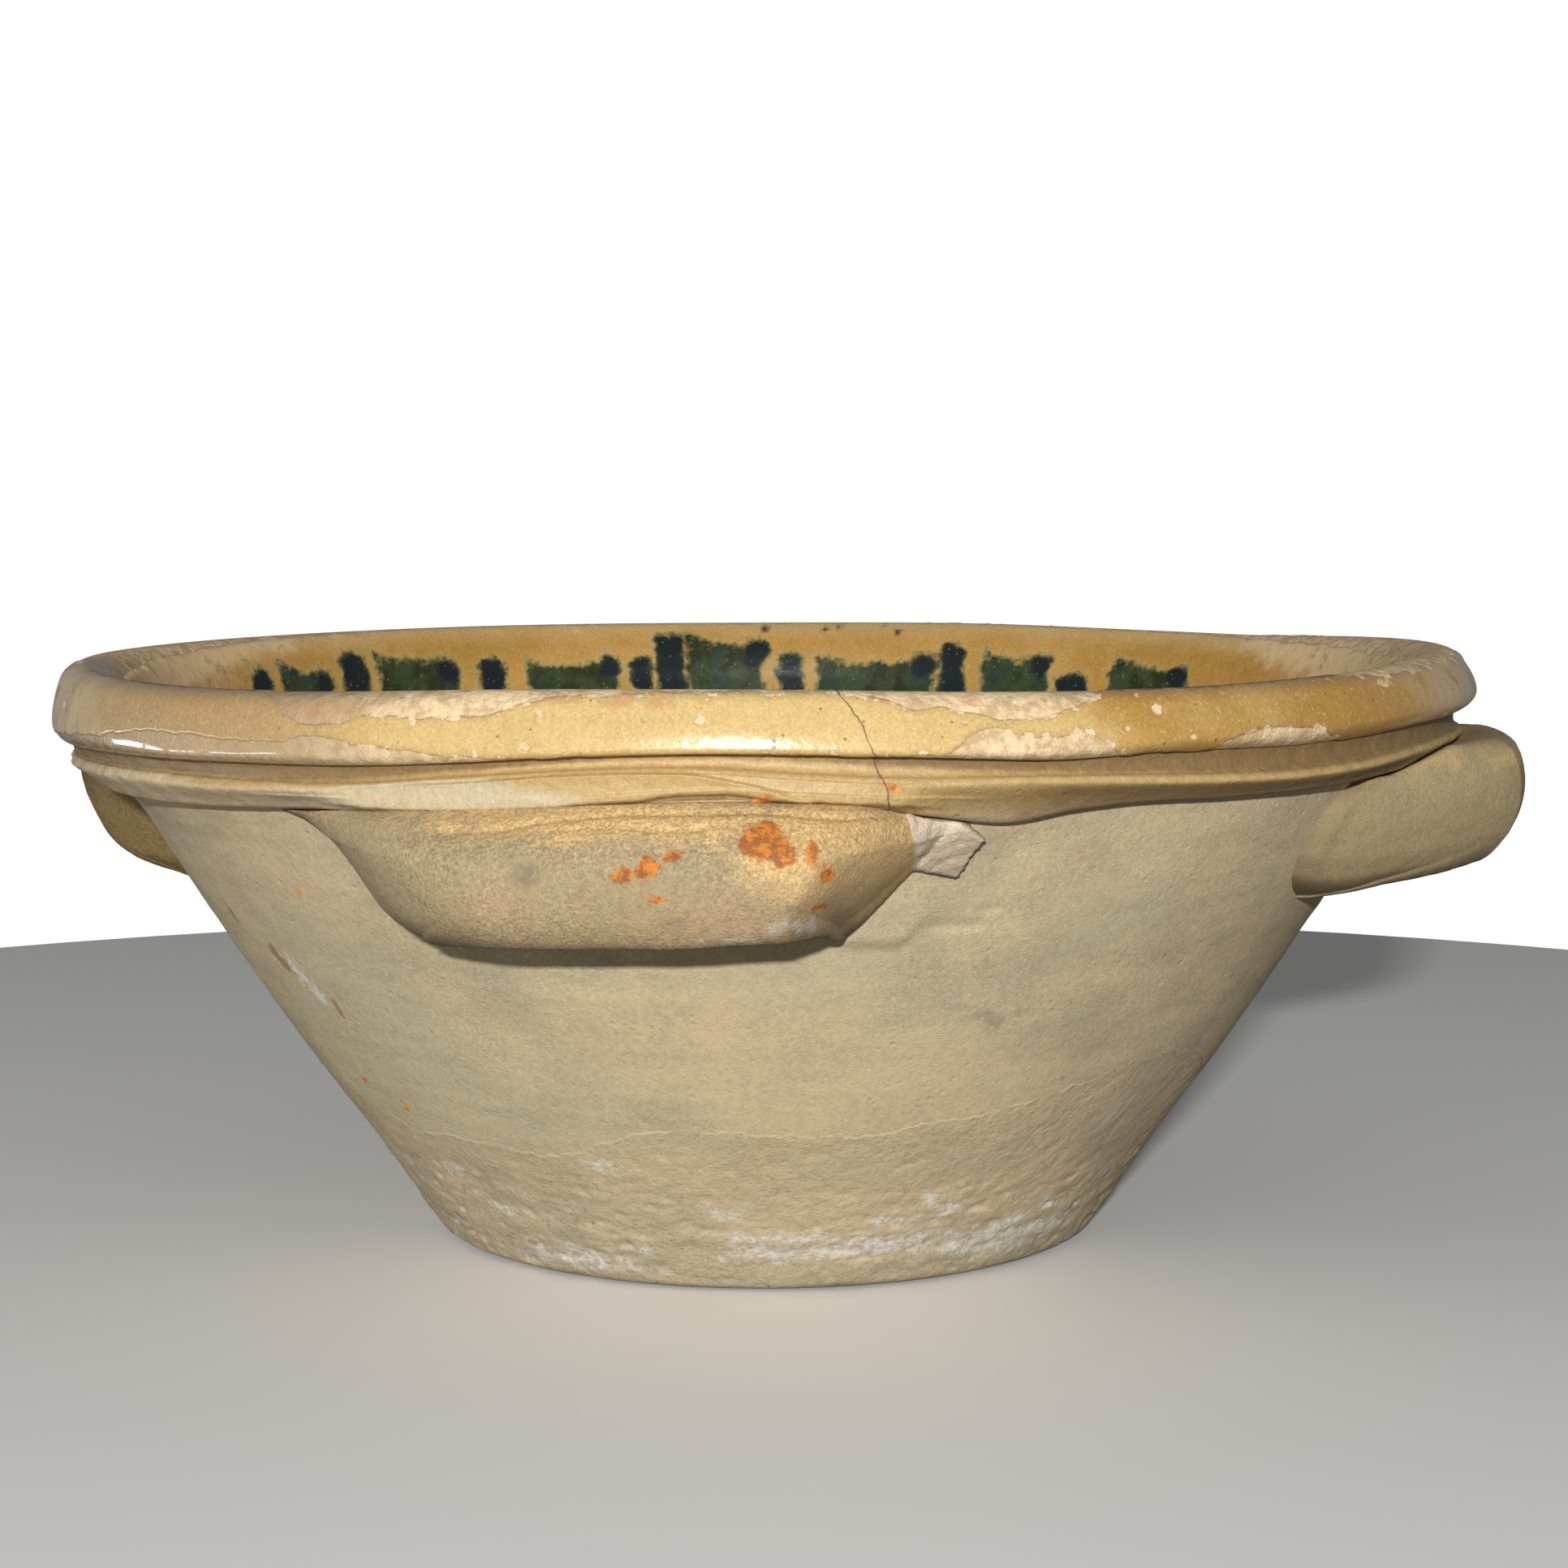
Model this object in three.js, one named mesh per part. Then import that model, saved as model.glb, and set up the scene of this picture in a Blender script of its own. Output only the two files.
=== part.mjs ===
import * as THREE from 'three';
import { mergeVertices } from 'three/addons/utils/BufferGeometryUtils.js';

// A large earthenware basin with four ear handles under a rolled rim.
// Millimetres and degrees. +Z is up, the table is z = 0, the axis of the bowl is the origin,
// and the front handle faces -Y. Turns are counted from -Y towards +X.

// Bowl
const rimRadius = 249;          // greatest radius, on the bulge of the rim roll
const rimHeight = 204;          // crest of the rim above the table
const footRadius = 117;         // where the line of the side meets the table
const footRound = 4;            // rounding of the edge of the foot
const floorThickness = 14;
const floorFillet = 32;         // reach of the curve from the floor up into the wall
const seamRadius = 142;         // outside, at the seam of the base dish and the wall
const seamHeight = 37;
const lapHeight = 6;            // lap of the base dish inside the foot of the wall
const wallAcross = 13;          // thickness of the wall, measured level
const wallBelly = 2.4;          // how far the wall swells out of a straight cone

// Rim and collar
const rimOverhang = 22;         // bulge of the rim past the wall under the collar
const shoulderLean = 5;         // how far the wall leans out behind the collar
const rollHeight = 22;          // crest of the rim down to the foot of the roll
const rollTuck = 6;             // foot of the roll in from its bulge
const bulgeDrop = 13.5;         // crest of the rim down to the bulge
const crestInset = 12;          // crest in from the bulge
const crestRound = 8;           // how softly the roll turns over at its crest
const tongueHeight = 7;         // tongue of the wall up into the roll
const tongueThickness = 5;
const collarDrop = 38;          // crest of the rim down to the underside of the collar
const collarShelf = 7;          // level part of the underside of the collar
const lipDrop = 31.5;           // crest of the rim down to the lip of the collar
const lipInset = 4;             // lip of the collar in from the bulge of the rim
const lipHeight = 3.4;
const coveDepth = 2.6;          // hollow between the lip and the roll

// Handles
const handleReach = 16;         // face of a handle past the bulge of the rim
const handleDrop = 34;          // underside of the collar down to the middle of the lower edge
const handleDroop = 13;         // how much lower that edge runs towards the ends
const handleThickness = 14;
const handleTaper = 0.45;       // how much shorter a handle is at its lower edge than at its root
const handleDrawIn = 8;         // lower edge of the face in from its bulge
const handleBrow = 3;           // underside of the collar down to the bulge of the face
const handleTuck = 12;          // face of a handle back to where its top goes under the collar
const handleRound = 8;          // rounding of the upper edge
const handleLip = 5;            // rounding of the lower edge
const handleEndProud = 2;       // ends of a handle past the level underside of the collar
const handleEndDrop = 10;
const handleShoulder = 0.36;    // share of the half length that keeps the full reach
const handleHeel = 0.82;        // share of the half length where the lower edge turns up to the end
const hollowRise = 0.8;         // share of the drop that the finger hollow goes up
const hollowRound = 2.4;        // power of its curve: 2 is an ellipse, more is squarer
// The four were pressed on by hand, so each has its own place and half length, in degrees, and its own
// shares of the reach, of the drop, of the droop towards its ends, of the shoulder and of the taper.
const handles = [
  { name: 'front_handle', turn: 0, halfSpan: 29, reach: 1, drop: 1, droop: 1, shoulder: 1, taper: 1 },
  { name: 'right_handle', turn: 90, halfSpan: 27, reach: 1.1, drop: 0.7, droop: 1.5, shoulder: 1.3, taper: 0.1 },
  { name: 'back_handle', turn: 175, halfSpan: 28, reach: 1, drop: 0.97, droop: 1, shoulder: 1.2, taper: 0.8 },
  { name: 'left_handle', turn: 256, halfSpan: 29, reach: 0.9, drop: 1, droop: 1.5, shoulder: 1.1, taper: 0.3 },
];

// Glaze and joints
const glazeThickness = 0.9;
const bareCrest = 4;            // worn crest left bare, each way from the top of the rim
const jointGap = 0.3;           // luting gap between pieces that touch

// Settling of the soft clay, shared by every piece
const leanHeight = 2;           // rim raised on one side and lowered on the other
const leanTurn = 100;
const thumbLift = 6;            // collar pushed up over each handle
const thumbSpan = 17;
const thumbHeight = 14;

// Facets
const roundSteps = 60;
const handleSteps = 20;

// Places that follow from the sizes
const wallTopRadius = rimRadius - rimOverhang;
const collarFoot = rimHeight - collarDrop;
const rollFoot = rimHeight - rollHeight;
const lipRadius = rimRadius - lipInset;
const lipFoot = rimHeight - lipDrop;
const shelfRadius = wallTopRadius + collarShelf;
const shoulderRadius = wallTopRadius + shoulderLean;
const throatRadius = shoulderRadius - wallAcross;
const tongueMiddle = shoulderRadius - wallAcross / 2;
const lapTop = seamHeight + lapHeight;
const { clamp, degToRad, lerp, smoothstep } = THREE.MathUtils;

const clay = new THREE.MeshStandardMaterial({ color: 0xc3af87, roughness: 0.85, metalness: 0 });
const ridgeClay = new THREE.MeshStandardMaterial({ color: 0xc2a468, roughness: 0.6, metalness: 0 });
const handleClay = new THREE.MeshStandardMaterial({ color: 0xbfa676, roughness: 0.8, metalness: 0 });
const ochreGlaze = new THREE.MeshStandardMaterial({ color: 0xc79a4c, roughness: 0.2, metalness: 0 });
const paleGlaze = new THREE.MeshStandardMaterial({ color: 0xd7b469, roughness: 0.25, metalness: 0 });

const at = (radius, height) => new THREE.Vector2(radius, height);

/** Radius of the outside of the wall at a height, between the seam and the collar. */
function wallOuter(height) {
  const t = clamp((height - seamHeight) / (collarFoot - seamHeight), 0, 1);
  return lerp(seamRadius, wallTopRadius, t) + 4 * wallBelly * t * (1 - t);
}

/** Points of the wall line between two heights, moved level by a distance. */
function wallLine(from, to, aside, steps) {
  return Array.from({ length: steps + 1 }, (_, i) => {
    const height = lerp(from, to, i / steps);
    return at(wallOuter(height) + aside, height);
  });
}

/** Points of a curve, as an outline. */
const along = (curve, steps) => curve.getPoints(steps);

/** The inside of the bowl, from the axis out and up to the crest, shared by the clay and the glaze. */
function insideLines() {
  const lapRadius = wallOuter(lapTop) - wallAcross;
  const slope = (wallOuter(collarFoot) - wallOuter(lapTop)) / (collarFoot - lapTop);
  const corner = at(lapRadius - slope * (lapTop - floorThickness), floorThickness);
  const fillet = new THREE.QuadraticBezierCurve(
    at(corner.x - floorFillet, floorThickness), corner, at(lapRadius, lapTop));
  const wall = wallLine(lapTop, collarFoot, -wallAcross, 4);
  const throat = at(throatRadius, rollFoot);
  const crest = at(rimRadius - crestInset, rimHeight);
  const rim = new THREE.CubicBezierCurve(
    throat, at(throat.x + 1, rollFoot + 0.6 * rollHeight), at(crest.x - crestRound, rimHeight), crest);
  return { floor: along(fillet, 4), wall, throat, rim: along(rim, 4) };
}

/** The outside of the rim roll, from its foot up to the crest. */
function rollOutside() {
  const foot = at(rimRadius - rollTuck, rollFoot);
  const bulge = at(rimRadius, rimHeight - bulgeDrop);
  const crest = at(rimRadius - crestInset, rimHeight);
  const under = new THREE.QuadraticBezierCurve(foot, at(rimRadius, foot.y + 0.1 * rollHeight), bulge);
  const over = new THREE.CubicBezierCurve(
    bulge, at(rimRadius, bulge.y + 0.5 * bulgeDrop), at(crest.x + crestRound, rimHeight), crest);
  return [...along(under, 2), ...along(over, 5).slice(1)];
}

/** The tongue on the wall, or the groove for it, from its outer foot over the top to its inner foot. */
function tongue(height, grow) {
  const half = tongueThickness / 2 + grow;
  const middle = at(tongueMiddle, rollFoot + tongueHeight - tongueThickness / 2);
  const top = new THREE.EllipseCurve(middle.x, middle.y, half, half, 0, Math.PI);
  return [at(middle.x + half, height), ...along(top, 3), at(middle.x - half, height)];
}

/** A coat of even thickness on an open line, standing off it by the joint gap on its left side. */
function coat(line, thickness) {
  const normals = line.map((point, i) => {
    const ahead = line[Math.min(i + 1, line.length - 1)];
    const behind = line[Math.max(i - 1, 0)];
    const run = ahead.clone().sub(behind).normalize();
    return at(-run.y, run.x);
  });
  const moved = (distance) => line.map((point, i) => point.clone().addScaledVector(normals[i], distance));
  return { near: moved(jointGap), far: moved(jointGap + thickness) };
}

/** Shift of the soft clay: a small lean of the whole rim, and the collar pushed up over each handle. */
function settle(geometry) {
  const place = geometry.getAttribute('position');
  const point = new THREE.Vector3();
  for (let i = 0; i < place.count; i += 1) {
    point.fromBufferAttribute(place, i);
    const radius = Math.hypot(point.x, point.y);
    const turn = Math.atan2(point.x, -point.y);
    const lean = leanHeight * (point.z / rimHeight) ** 2 * (radius / rimRadius);
    const level = (point.z - lipFoot) / thumbHeight;
    const outside = clamp((radius - throatRadius) / (wallTopRadius - throatRadius), 0, 1);
    const thumbs = handles.reduce((sum, handle) => {
      const apart = turn - degToRad(handle.turn);
      const off = Math.atan2(Math.sin(apart), Math.cos(apart)) / degToRad(thumbSpan);
      return sum + Math.exp(-off * off);
    }, 0);
    const tilt = lean * Math.cos(turn - degToRad(leanTurn));
    const lift = tilt + thumbLift * outside * thumbs * Math.exp(-level * level);
    place.setZ(i, point.z + lift);
  }
  geometry.computeVertexNormals();
  return geometry;
}

function clean(geometry) {
  geometry.deleteAttribute('normal');
  geometry.deleteAttribute('uv');
  return mergeVertices(geometry, 1e-3);
}

function node(name, geometry, material) {
  const mesh = new THREE.Mesh(settle(clean(geometry)), material);
  mesh.name = name;
  return mesh;
}

/** A ring or a dish spun round the Z axis from an outline that runs up outside and down inside. */
function spun(name, outline, material) {
  const geometry = new THREE.LatheGeometry(outline, roundSteps);
  geometry.rotateX(Math.PI / 2);
  return node(name, geometry, material);
}

function closed(outline) {
  return [...outline, outline[0].clone()];
}

function baseDish(inside) {
  const side = at(seamRadius - footRadius, seamHeight).normalize().multiplyScalar(footRound);
  const edge = new THREE.QuadraticBezierCurve(
    at(footRadius - footRound, 0), at(footRadius, 0), at(footRadius + side.x, side.y));
  const lapStep = wallOuter(lapTop) - wallOuter(seamHeight);
  const lapFoot = seamRadius - wallAcross / 2;
  return spun('base_dish', [
    at(0, 0),
    ...along(edge, 3),
    at(seamRadius, seamHeight),
    at(lapFoot, seamHeight),
    at(lapFoot + lapStep, lapTop),
    ...[...inside.floor].reverse(),
    at(0, floorThickness),
  ], clay);
}

function bowlWall(inside) {
  const lapStep = wallOuter(lapTop) - wallOuter(seamHeight);
  const lapFoot = seamRadius - wallAcross / 2 + 2 * jointGap;
  const innerFoot = at(wallOuter(lapTop + jointGap) - wallAcross, lapTop + jointGap);
  return spun('bowl_wall', closed([
    ...wallLine(seamHeight + jointGap, collarFoot, 0, 6),
    at(shoulderRadius, rollFoot),
    ...tongue(rollFoot, 0),
    inside.throat,
    ...inside.wall.slice(1).reverse(),
    innerFoot,
    at(lapFoot + lapStep, lapTop + jointGap),
    at(lapFoot, seamHeight + jointGap),
  ]), clay);
}

function collarRidge() {
  const lipTop = at(lipRadius - 0.8, lipFoot + lipHeight);
  const coveTop = at(lipRadius - coveDepth / 2, rollFoot);
  const cove = new THREE.QuadraticBezierCurve(
    lipTop, at(lipRadius - 2 * coveDepth + 1, (lipTop.y + rollFoot) / 2), coveTop);
  const lip = new THREE.QuadraticBezierCurve(
    at(lipRadius, lipFoot), at(lipRadius + 0.6, lipFoot + lipHeight / 2), lipTop);
  return spun('collar_ridge', closed([
    at(wallTopRadius + jointGap, collarFoot),
    at(shelfRadius, collarFoot),
    ...along(lip, 2),
    ...along(cove, 4).slice(1),
    at(shoulderRadius + jointGap, rollFoot),
  ]), ridgeClay);
}

function rimRoll(inside) {
  const outside = rollOutside();
  outside[0].setY(rollFoot + jointGap);
  const inner = [...inside.rim].reverse().slice(1);
  inner.at(-1).setY(rollFoot + jointGap);
  return spun('rim_roll', closed([
    ...outside,
    ...inner,
    ...tongue(rollFoot + jointGap, jointGap).reverse(),
  ]), clay);
}

/** Height of the top of a handle, tucked under the collar, at a radius. */
function underCollar(radius) {
  const t = clamp((radius - shelfRadius) / (lipRadius - shelfRadius), 0, 1);
  return lerp(collarFoot, lipFoot, t) - 1.5 * jointGap;
}

/** Section of a handle at a share of its half length, as (radius, height) points that run up the face. */
function handleSection(share, own) {
  const bulge = rimRadius + handleReach * own.reach;
  const drop = handleDrop * own.drop;
  const shoulder = handleShoulder * own.shoulder;
  const swell = 1 - smoothstep(share, shoulder, 1);
  const deepest = drop + handleDroop * own.droop * share ** 2;
  const low = collarFoot - lerp(deepest, handleEndDrop, smoothstep(share, handleHeel, 1));
  const lip = lerp(1, handleLip, swell);
  const bow = handleDrawIn / drop ** 2;
  const root = (height) => wallOuter(height) + jointGap;
  const face = (height) => {
    const below = Math.max(0, collarFoot - height);
    const ending = smoothstep(share * (1 + handleTaper * own.taper * below / drop), shoulder, 1);
    const thin = lerp(collarShelf + handleEndProud, handleEndProud, below / (collarFoot - low));
    return lerp(bulge - bow * (height - collarFoot + handleBrow) ** 2, root(height) + thin, ending);
  };

  const tuck = Math.min(lipRadius, face(collarFoot) - lerp(handleEndProud / 2, handleTuck, swell));
  const top = underCollar(tuck);
  const round = lerp(1, handleRound, swell);
  const ceiling = lerp(low, collarFoot, hollowRise);
  const depth = Math.max(0, face(low) - handleThickness - root(low));
  const hollow = (height) => {
    const t = clamp((height - low) / (ceiling - low), 0, 1);
    return root(height) + depth * (1 - t ** hollowRound) ** (1 / hollowRound);
  };

  const points = [];
  const foot = low + lip;
  for (let i = 0; i < 4; i += 1) {
    const w = i / 4;
    points.push(at(lerp(hollow(foot), face(foot), w), low + lip * (1 - Math.sin(Math.PI * w))));
  }
  for (let i = 0; i <= 3; i += 1) {
    const height = lerp(foot, top - round, i / 3);
    points.push(at(face(height), height));
  }
  points.push(at(face(top) - 0.3 * round, top - 0.3 * round));
  points.push(at(face(top) - round, top));
  const inmost = root(collarFoot);
  [tuck, shelfRadius, inmost].forEach((radius) => {
    points.push(at(radius, underCollar(radius)));
  });
  for (let i = 0; i < 4; i += 1) {
    const height = lerp(ceiling, foot, i / 4);
    points.push(at(hollow(height), height));
  }
  return points;
}

/** An ear handle: its section carried round the wall from one end to the other and capped. */
function earHandle(handle) {
  const { name, turn, halfSpan } = handle;
  const position = [];
  const index = [];
  let size = 0;
  for (let i = 0; i <= handleSteps; i += 1) {
    const along = 2 * (i / handleSteps) - 1;
    const section = handleSection(Math.abs(along), handle);
    const angle = degToRad(turn + along * halfSpan);
    size = section.length;
    section.forEach((point) => {
      position.push(point.x * Math.sin(angle), -point.x * Math.cos(angle), point.y);
    });
  }
  for (let i = 0; i < handleSteps; i += 1) {
    for (let j = 0; j < size; j += 1) {
      const a = i * size + j;
      const d = i * size + ((j + 1) % size);
      index.push(a, a + size, d, d + size, d, a + size);
    }
  }
  const last = handleSteps * size;
  THREE.ShapeUtils.triangulateShape(handleSection(1, handle), []).forEach(([a, b, c]) => {
    index.push(a, b, c, last + a, last + c, last + b);
  });
  const geometry = new THREE.BufferGeometry();
  geometry.setAttribute('position', new THREE.Float32BufferAttribute(position, 3));
  geometry.setIndex(index);
  return node(name, geometry, handleClay);
}

function bowlGlaze(inside) {
  const crestStop = inside.rim.filter((point) => point.x <= rimRadius - crestInset - bareCrest);
  const line = [at(0, floorThickness), ...inside.floor, ...inside.wall.slice(1), ...crestStop];
  const { near, far } = coat(line, glazeThickness);
  near[0].setX(0);
  far[0].setX(0);
  return spun('bowl_glaze', [...near, ...far.reverse()], ochreGlaze);
}

function rimGlaze() {
  const crest = rimRadius - crestInset;
  const line = rollOutside().slice(1).filter((point) => point.x > crest + bareCrest);
  const { near, far } = coat([...line].reverse(), glazeThickness);
  return spun('rim_glaze', closed([...far.reverse(), ...near]), paleGlaze);
}

function group(name, members) {
  const made = new THREE.Group();
  made.name = name;
  made.add(...members);
  return made;
}

const inside = insideLines();
export default group('ceramic_basin', [
  group('body', [baseDish(inside), bowlWall(inside), collarRidge(), rimRoll(inside)]),
  group('handles', handles.map(earHandle)),
  group('glaze', [bowlGlaze(inside), rimGlaze()]),
]);
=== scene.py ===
"""Dresses the packed earthenware basin: thrown clay, pressed-on ear handles and a worn lead glaze."""

import bpy
import numpy as np
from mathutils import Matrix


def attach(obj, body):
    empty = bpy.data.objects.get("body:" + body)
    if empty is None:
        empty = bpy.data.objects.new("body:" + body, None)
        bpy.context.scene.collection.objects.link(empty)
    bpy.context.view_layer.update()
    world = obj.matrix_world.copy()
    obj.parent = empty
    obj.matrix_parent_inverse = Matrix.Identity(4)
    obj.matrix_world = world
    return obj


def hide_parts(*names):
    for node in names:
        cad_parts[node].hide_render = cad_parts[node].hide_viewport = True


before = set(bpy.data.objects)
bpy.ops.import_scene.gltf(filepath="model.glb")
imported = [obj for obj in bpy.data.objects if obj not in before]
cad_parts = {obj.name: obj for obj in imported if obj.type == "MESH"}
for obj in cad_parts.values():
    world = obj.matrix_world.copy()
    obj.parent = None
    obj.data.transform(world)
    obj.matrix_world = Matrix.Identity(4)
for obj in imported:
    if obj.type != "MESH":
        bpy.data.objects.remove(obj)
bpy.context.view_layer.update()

bl_info = {
    "name": "Earthenware basin",
    "version": (1, 0, 0),
    "blender": (4, 5, 0),
    "location": "View3D > Sidebar > Basin",
    "description": "Builds the clay, the handles, the glaze and the stage of a worn earthenware basin",
    "category": "Add Mesh",
}

mm = 0.001
hair = 0.1 * mm     # keeps the rounding of a hidden edge too thin to be seen

# Lines of the rim as the hand left them, as (turn in degrees, rise in millimetres over the even line).
CREST_RISE = (
    (-170, 0.6), (-140, 1.4), (-115, 1.2), (-92, 0.9), (-76, 0.6), (-63, -1), (-49, -2.1), (-30, -2.2),
    (-19, -1), (-8, 0.3), (10, 0.4), (28, -1.5), (42, -2.4), (53, -1.8), (63, -0.9), (76, 0.5),
    (105, 1), (118, 0), (133, -1.8), (148, -1.5), (168, 0.2),
)
ROLL_FOOT_RISE = (
    (-160, 1.5), (-130, -1), (-104, 0.5), (-85, -3.5), (-66, -5.2), (-48, -3.1), (-32, -1.5),
    (-17, 0), (-11, 1.5), (1, 4.9), (8, 5.4), (15, 4.5), (24, 2.6), (30, 1.4), (39, 2.2), (52, 1.3),
    (66, 2.9), (90, 3.2), (115, 0.2), (145, 0.6), (175, 3.8),
)
LIP_RISE = (
    (-160, 1.5), (-130, -0.5), (-104, 1.5), (-85, -1), (-66, -2), (-45, -1.4), (-30, -0.8),
    (-20, 0.2), (-10, 3.8), (0, 6.6), (6, 7), (13, 5), (20, 3.3), (29, 3), (44, 0.7), (52, 0),
    (60, 0.8), (70, 3), (90, 3.4), (115, 0.3), (145, 0.4), (175, 4),
)
COLLAR_FOOT_RISE = (
    (-160, 1), (-130, -1), (-104, 2), (-85, -2), (-66, -3.2), (-43, -3), (-35, -2),
    (-26, -0.2), (-10, 2), (0, 4.2), (10, 5.4), (18, 3.4), (23, 0), (28, -2.4), (33, 0.4), (38, 1.8),
    (46, 1.6), (58, 1.5), (68, 2.4), (90, 2.4), (115, 0), (145, 0.4), (175, 3.6),
)

# Laps of clay on the collar over the front handle, as lines of (turn, height), depth and run downwards in
# millimetres.
COLLAR_LAPS = (
    (((-16, 176), (-9.6, 178), (-2.6, 180.5), (2.9, 181.2), (5.6, 181), (8.2, 179.2), (10.9, 176.6),
      (13.5, 172.6), (16, 171)), 1.5, 3.5),
    (((-30, 171), (-22, 172), (-12, 172.6), (-3, 174), (3, 176), (8, 177), (13, 175.6), (20, 174),
      (27, 172.5)), 0.6, 2),
)

# Split where the top of the front handle was not wiped in, as (turn, height in millimetres).
SPLIT = (
    (-24, 167.6), (-20.6, 168.4), (-14.2, 168.6), (-8.2, 168.3), (-4, 170.3), (1.2, 172.3), (6, 174.4),
    (8.1, 174.6), (11.8, 172.5), (14.6, 171.7), (19.4, 170.6), (24, 168),
)

# Stretches of the turn, each as the turns where it starts, is full, begins to fade and ends.
LUG_STRETCH = (-26, -17, 18, 24)       # collar drawn out over the front handle
SPLIT_STRETCH = (-24, -19, 20, 24)     # split open
SLUMP_STRETCH = (-84, -70, -34, -22)   # collar sagged on the left
SOIL_AND_SHADE_STRETCH = (-100, -84, -50, -38)   # dirt and painted shade on the collar on the left
GLOSS_STRETCH = (-80, -66, -26, -10)   # bare clay of the rim shining on the left

# Shares of the inside line where the floor, the fillet, the wall, the throat and the rim begin and end.
INSIDE_STOPS = np.array([0.0, 0.22, 0.38, 0.80, 0.87, 1.0])

# Lower edge of the slip, as (turn, height in millimetres).
SLIP_EDGE = (
    (-170, 52), (-140, 60), (-110, 48), (-80, 58), (-55, 60), (-38, 50), (-26, 49), (-16, 48), (-9, 56),
    (4, 61), (16, 60), (26, 61), (34, 64), (46, 72), (62, 76), (85, 60), (110, 52), (140, 64), (165, 56),
)

# Apron of clay beside the front handle, as (turn, height) corners.
APRON = (
    (14, 140), (22.5, 161), (27.4, 146), (22.0, 125.5), (16.4, 126),
)

# Scratch of a tool on the wall beside the front handle, as soft ellipses.
SCRATCH = ((26.6, 131.5, 9.0, 2.0), (29.0, 136.0, 4.0, 1.4))

# Worn edges of the rim glaze, as (turn, height in millimetres): bare clay lies above the first line and
# below the second.
GLAZE_TOP = (
    (-170, 203.6), (-150, 202), (-135, 203.8), (-118, 200.5), (-104, 203.5), (-88, 201.5), (-72, 203.5),
    (-55, 203.6), (-40, 203.6), (-29, 203.4), (-26, 200.4), (-24.4, 196.1), (-19.3, 194.9), (-17, 197.7),
    (-15.6, 196.7), (-10.6, 197.1), (-8.2, 197.6), (-5.9, 200.9), (-3.2, 203.2), (0.4, 203.8), (8, 203.9),
    (16, 203.6), (18.2, 202.2), (19.9, 199.7), (22.5, 199.3), (25.1, 196.5), (26.6, 195.2), (28, 196.2),
    (29.5, 195.8), (31.1, 197.4), (32.8, 199.6), (35, 203.2), (45, 203.6), (58, 203), (63, 201.8),
    (70, 203.2), (90, 203.6), (112, 201), (128, 203.6), (146, 199), (160, 203.4),
)
GLAZE_FOOT = (
    (-170, 184), (-150, 186), (-135, 183), (-118, 186.5), (-104, 182), (-85, 181), (-66, 181),
    (-52, 183.5), (-44, 186), (-40.2, 187.4), (-35, 188.1), (-29, 187.4), (-23.7, 188.3),
    (-22.4, 190), (-20.8, 190), (-18.5, 188.1), (-16.1, 187.7), (-13.4, 186.2), (-10.5, 185),
    (-6, 185.4), (0, 185.6), (10, 186), (20, 185.6), (22.8, 186.4), (23.9, 190.3), (25.4, 192.6),
    (27.5, 190.6), (30, 189.5), (31.8, 191), (33, 189.1), (34.2, 185.4), (38, 184.2), (42.4, 184),
    (43.4, 186.2), (45.1, 188.2), (49, 189.2), (52.5, 187.8), (55, 184.6), (66, 185), (90, 184.6),
    (112, 187), (128, 184), (146, 186.5),
)

# Least height of the glaze on the rim, in millimetres.
LEAST_GLAZE = 1.5

# Turns where the inside of the rim is worn to the clay, as soft ellipses on the line of the crest.
BARE_INSIDE = (
    (-70, 0, 130, 10), (46, 0, 90, 10), (0, 0, 50, 8), (104, 0, 90, 10),
)

# Brush marks inside the rim. A dab is (turn, half width in degrees, top in millimetres). A sweep is
# (turn where it starts, turn where it ends, top at its start, top at its end), and pools dark at its end.
# A dot is (turn, height, radius), the last two in millimetres.
DABS = (
    (-105.8, 1.5, 192.8), (-120.3, 1.7, 195.6), (-138, 1.3, 191.4), (-155.6, 1.1, 190.6),
    (-158.9, 1.6, 199.8), (-172.4, 1.2, 191.4), (169.1, 1.5, 195.4), (154.3, 1.8, 184.6),
)
SWEEPS = (
    (-109, -117, 196.4, 190), (-123.5, -133.8, 196, 193.2), (-142.2, -153, 190.2, 191.4),
    (-160.8, -169.4, 199.6, 196.6), (-175.3, -188.6, 190.2, 190.6), (165.6, 157.4, 192.6, 192.2),
    (149.7, 139.4, 194, 188.8),
)
DOTS = (
    (-169.6, 202.6, 1.6), (-178.0, 203.0, 1.4), (-176.2, 202.4, 1.0), (175.6, 200.6, 1.3),
    (177.4, 202.8, 1.1),
)
SWEEP_SPACING = 17.0     # degrees from one sweep to the next round the whole rim

# Fray, size and softness of the edges of the brush marks, in millimetres.
PAINT_EDGE = (2.0, 3.6, 1.8)

# Marks of age, each a soft ellipse: (turn, height, half width, half height), the last three in millimetres.
RUST = (
    (10.4, 163.6, 6.2, 5.2), (11.6, 160.4, 4, 3.4), (13.4, 160.3, 2, 2.8), (14.2, 154.4, 2.2, 2.4),
    (13.9, 144.4, 1.8, 1.4), (3.4, 157, 3.4, 2.6), (4.9, 159.6, 2.2, 1.4), (2, 154.4, 2.8, 2),
    (3.1, 155.2, 2.2, 3), (4, 147.4, 2.6, 1), (18.9, 173.4, 1.6, 1.4), (35.7, 151.9, 1.2, 1),
    (31.9, 149.1, 1, 1), (37.2, 148.5, 1.4, 0.9), (47.4, 152.1, 1.8, 1.2), (-33.6, 136.1, 3.2, 1.6),
    (-44.4, 65.9, 3, 1.4), (-38, 58, 2, 2.4), (118, 120, 3, 2), (152, 88, 2.4, 1.6),
    (206, 140, 3, 2.2), (221, 72, 2.2, 1.4),
)
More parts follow.
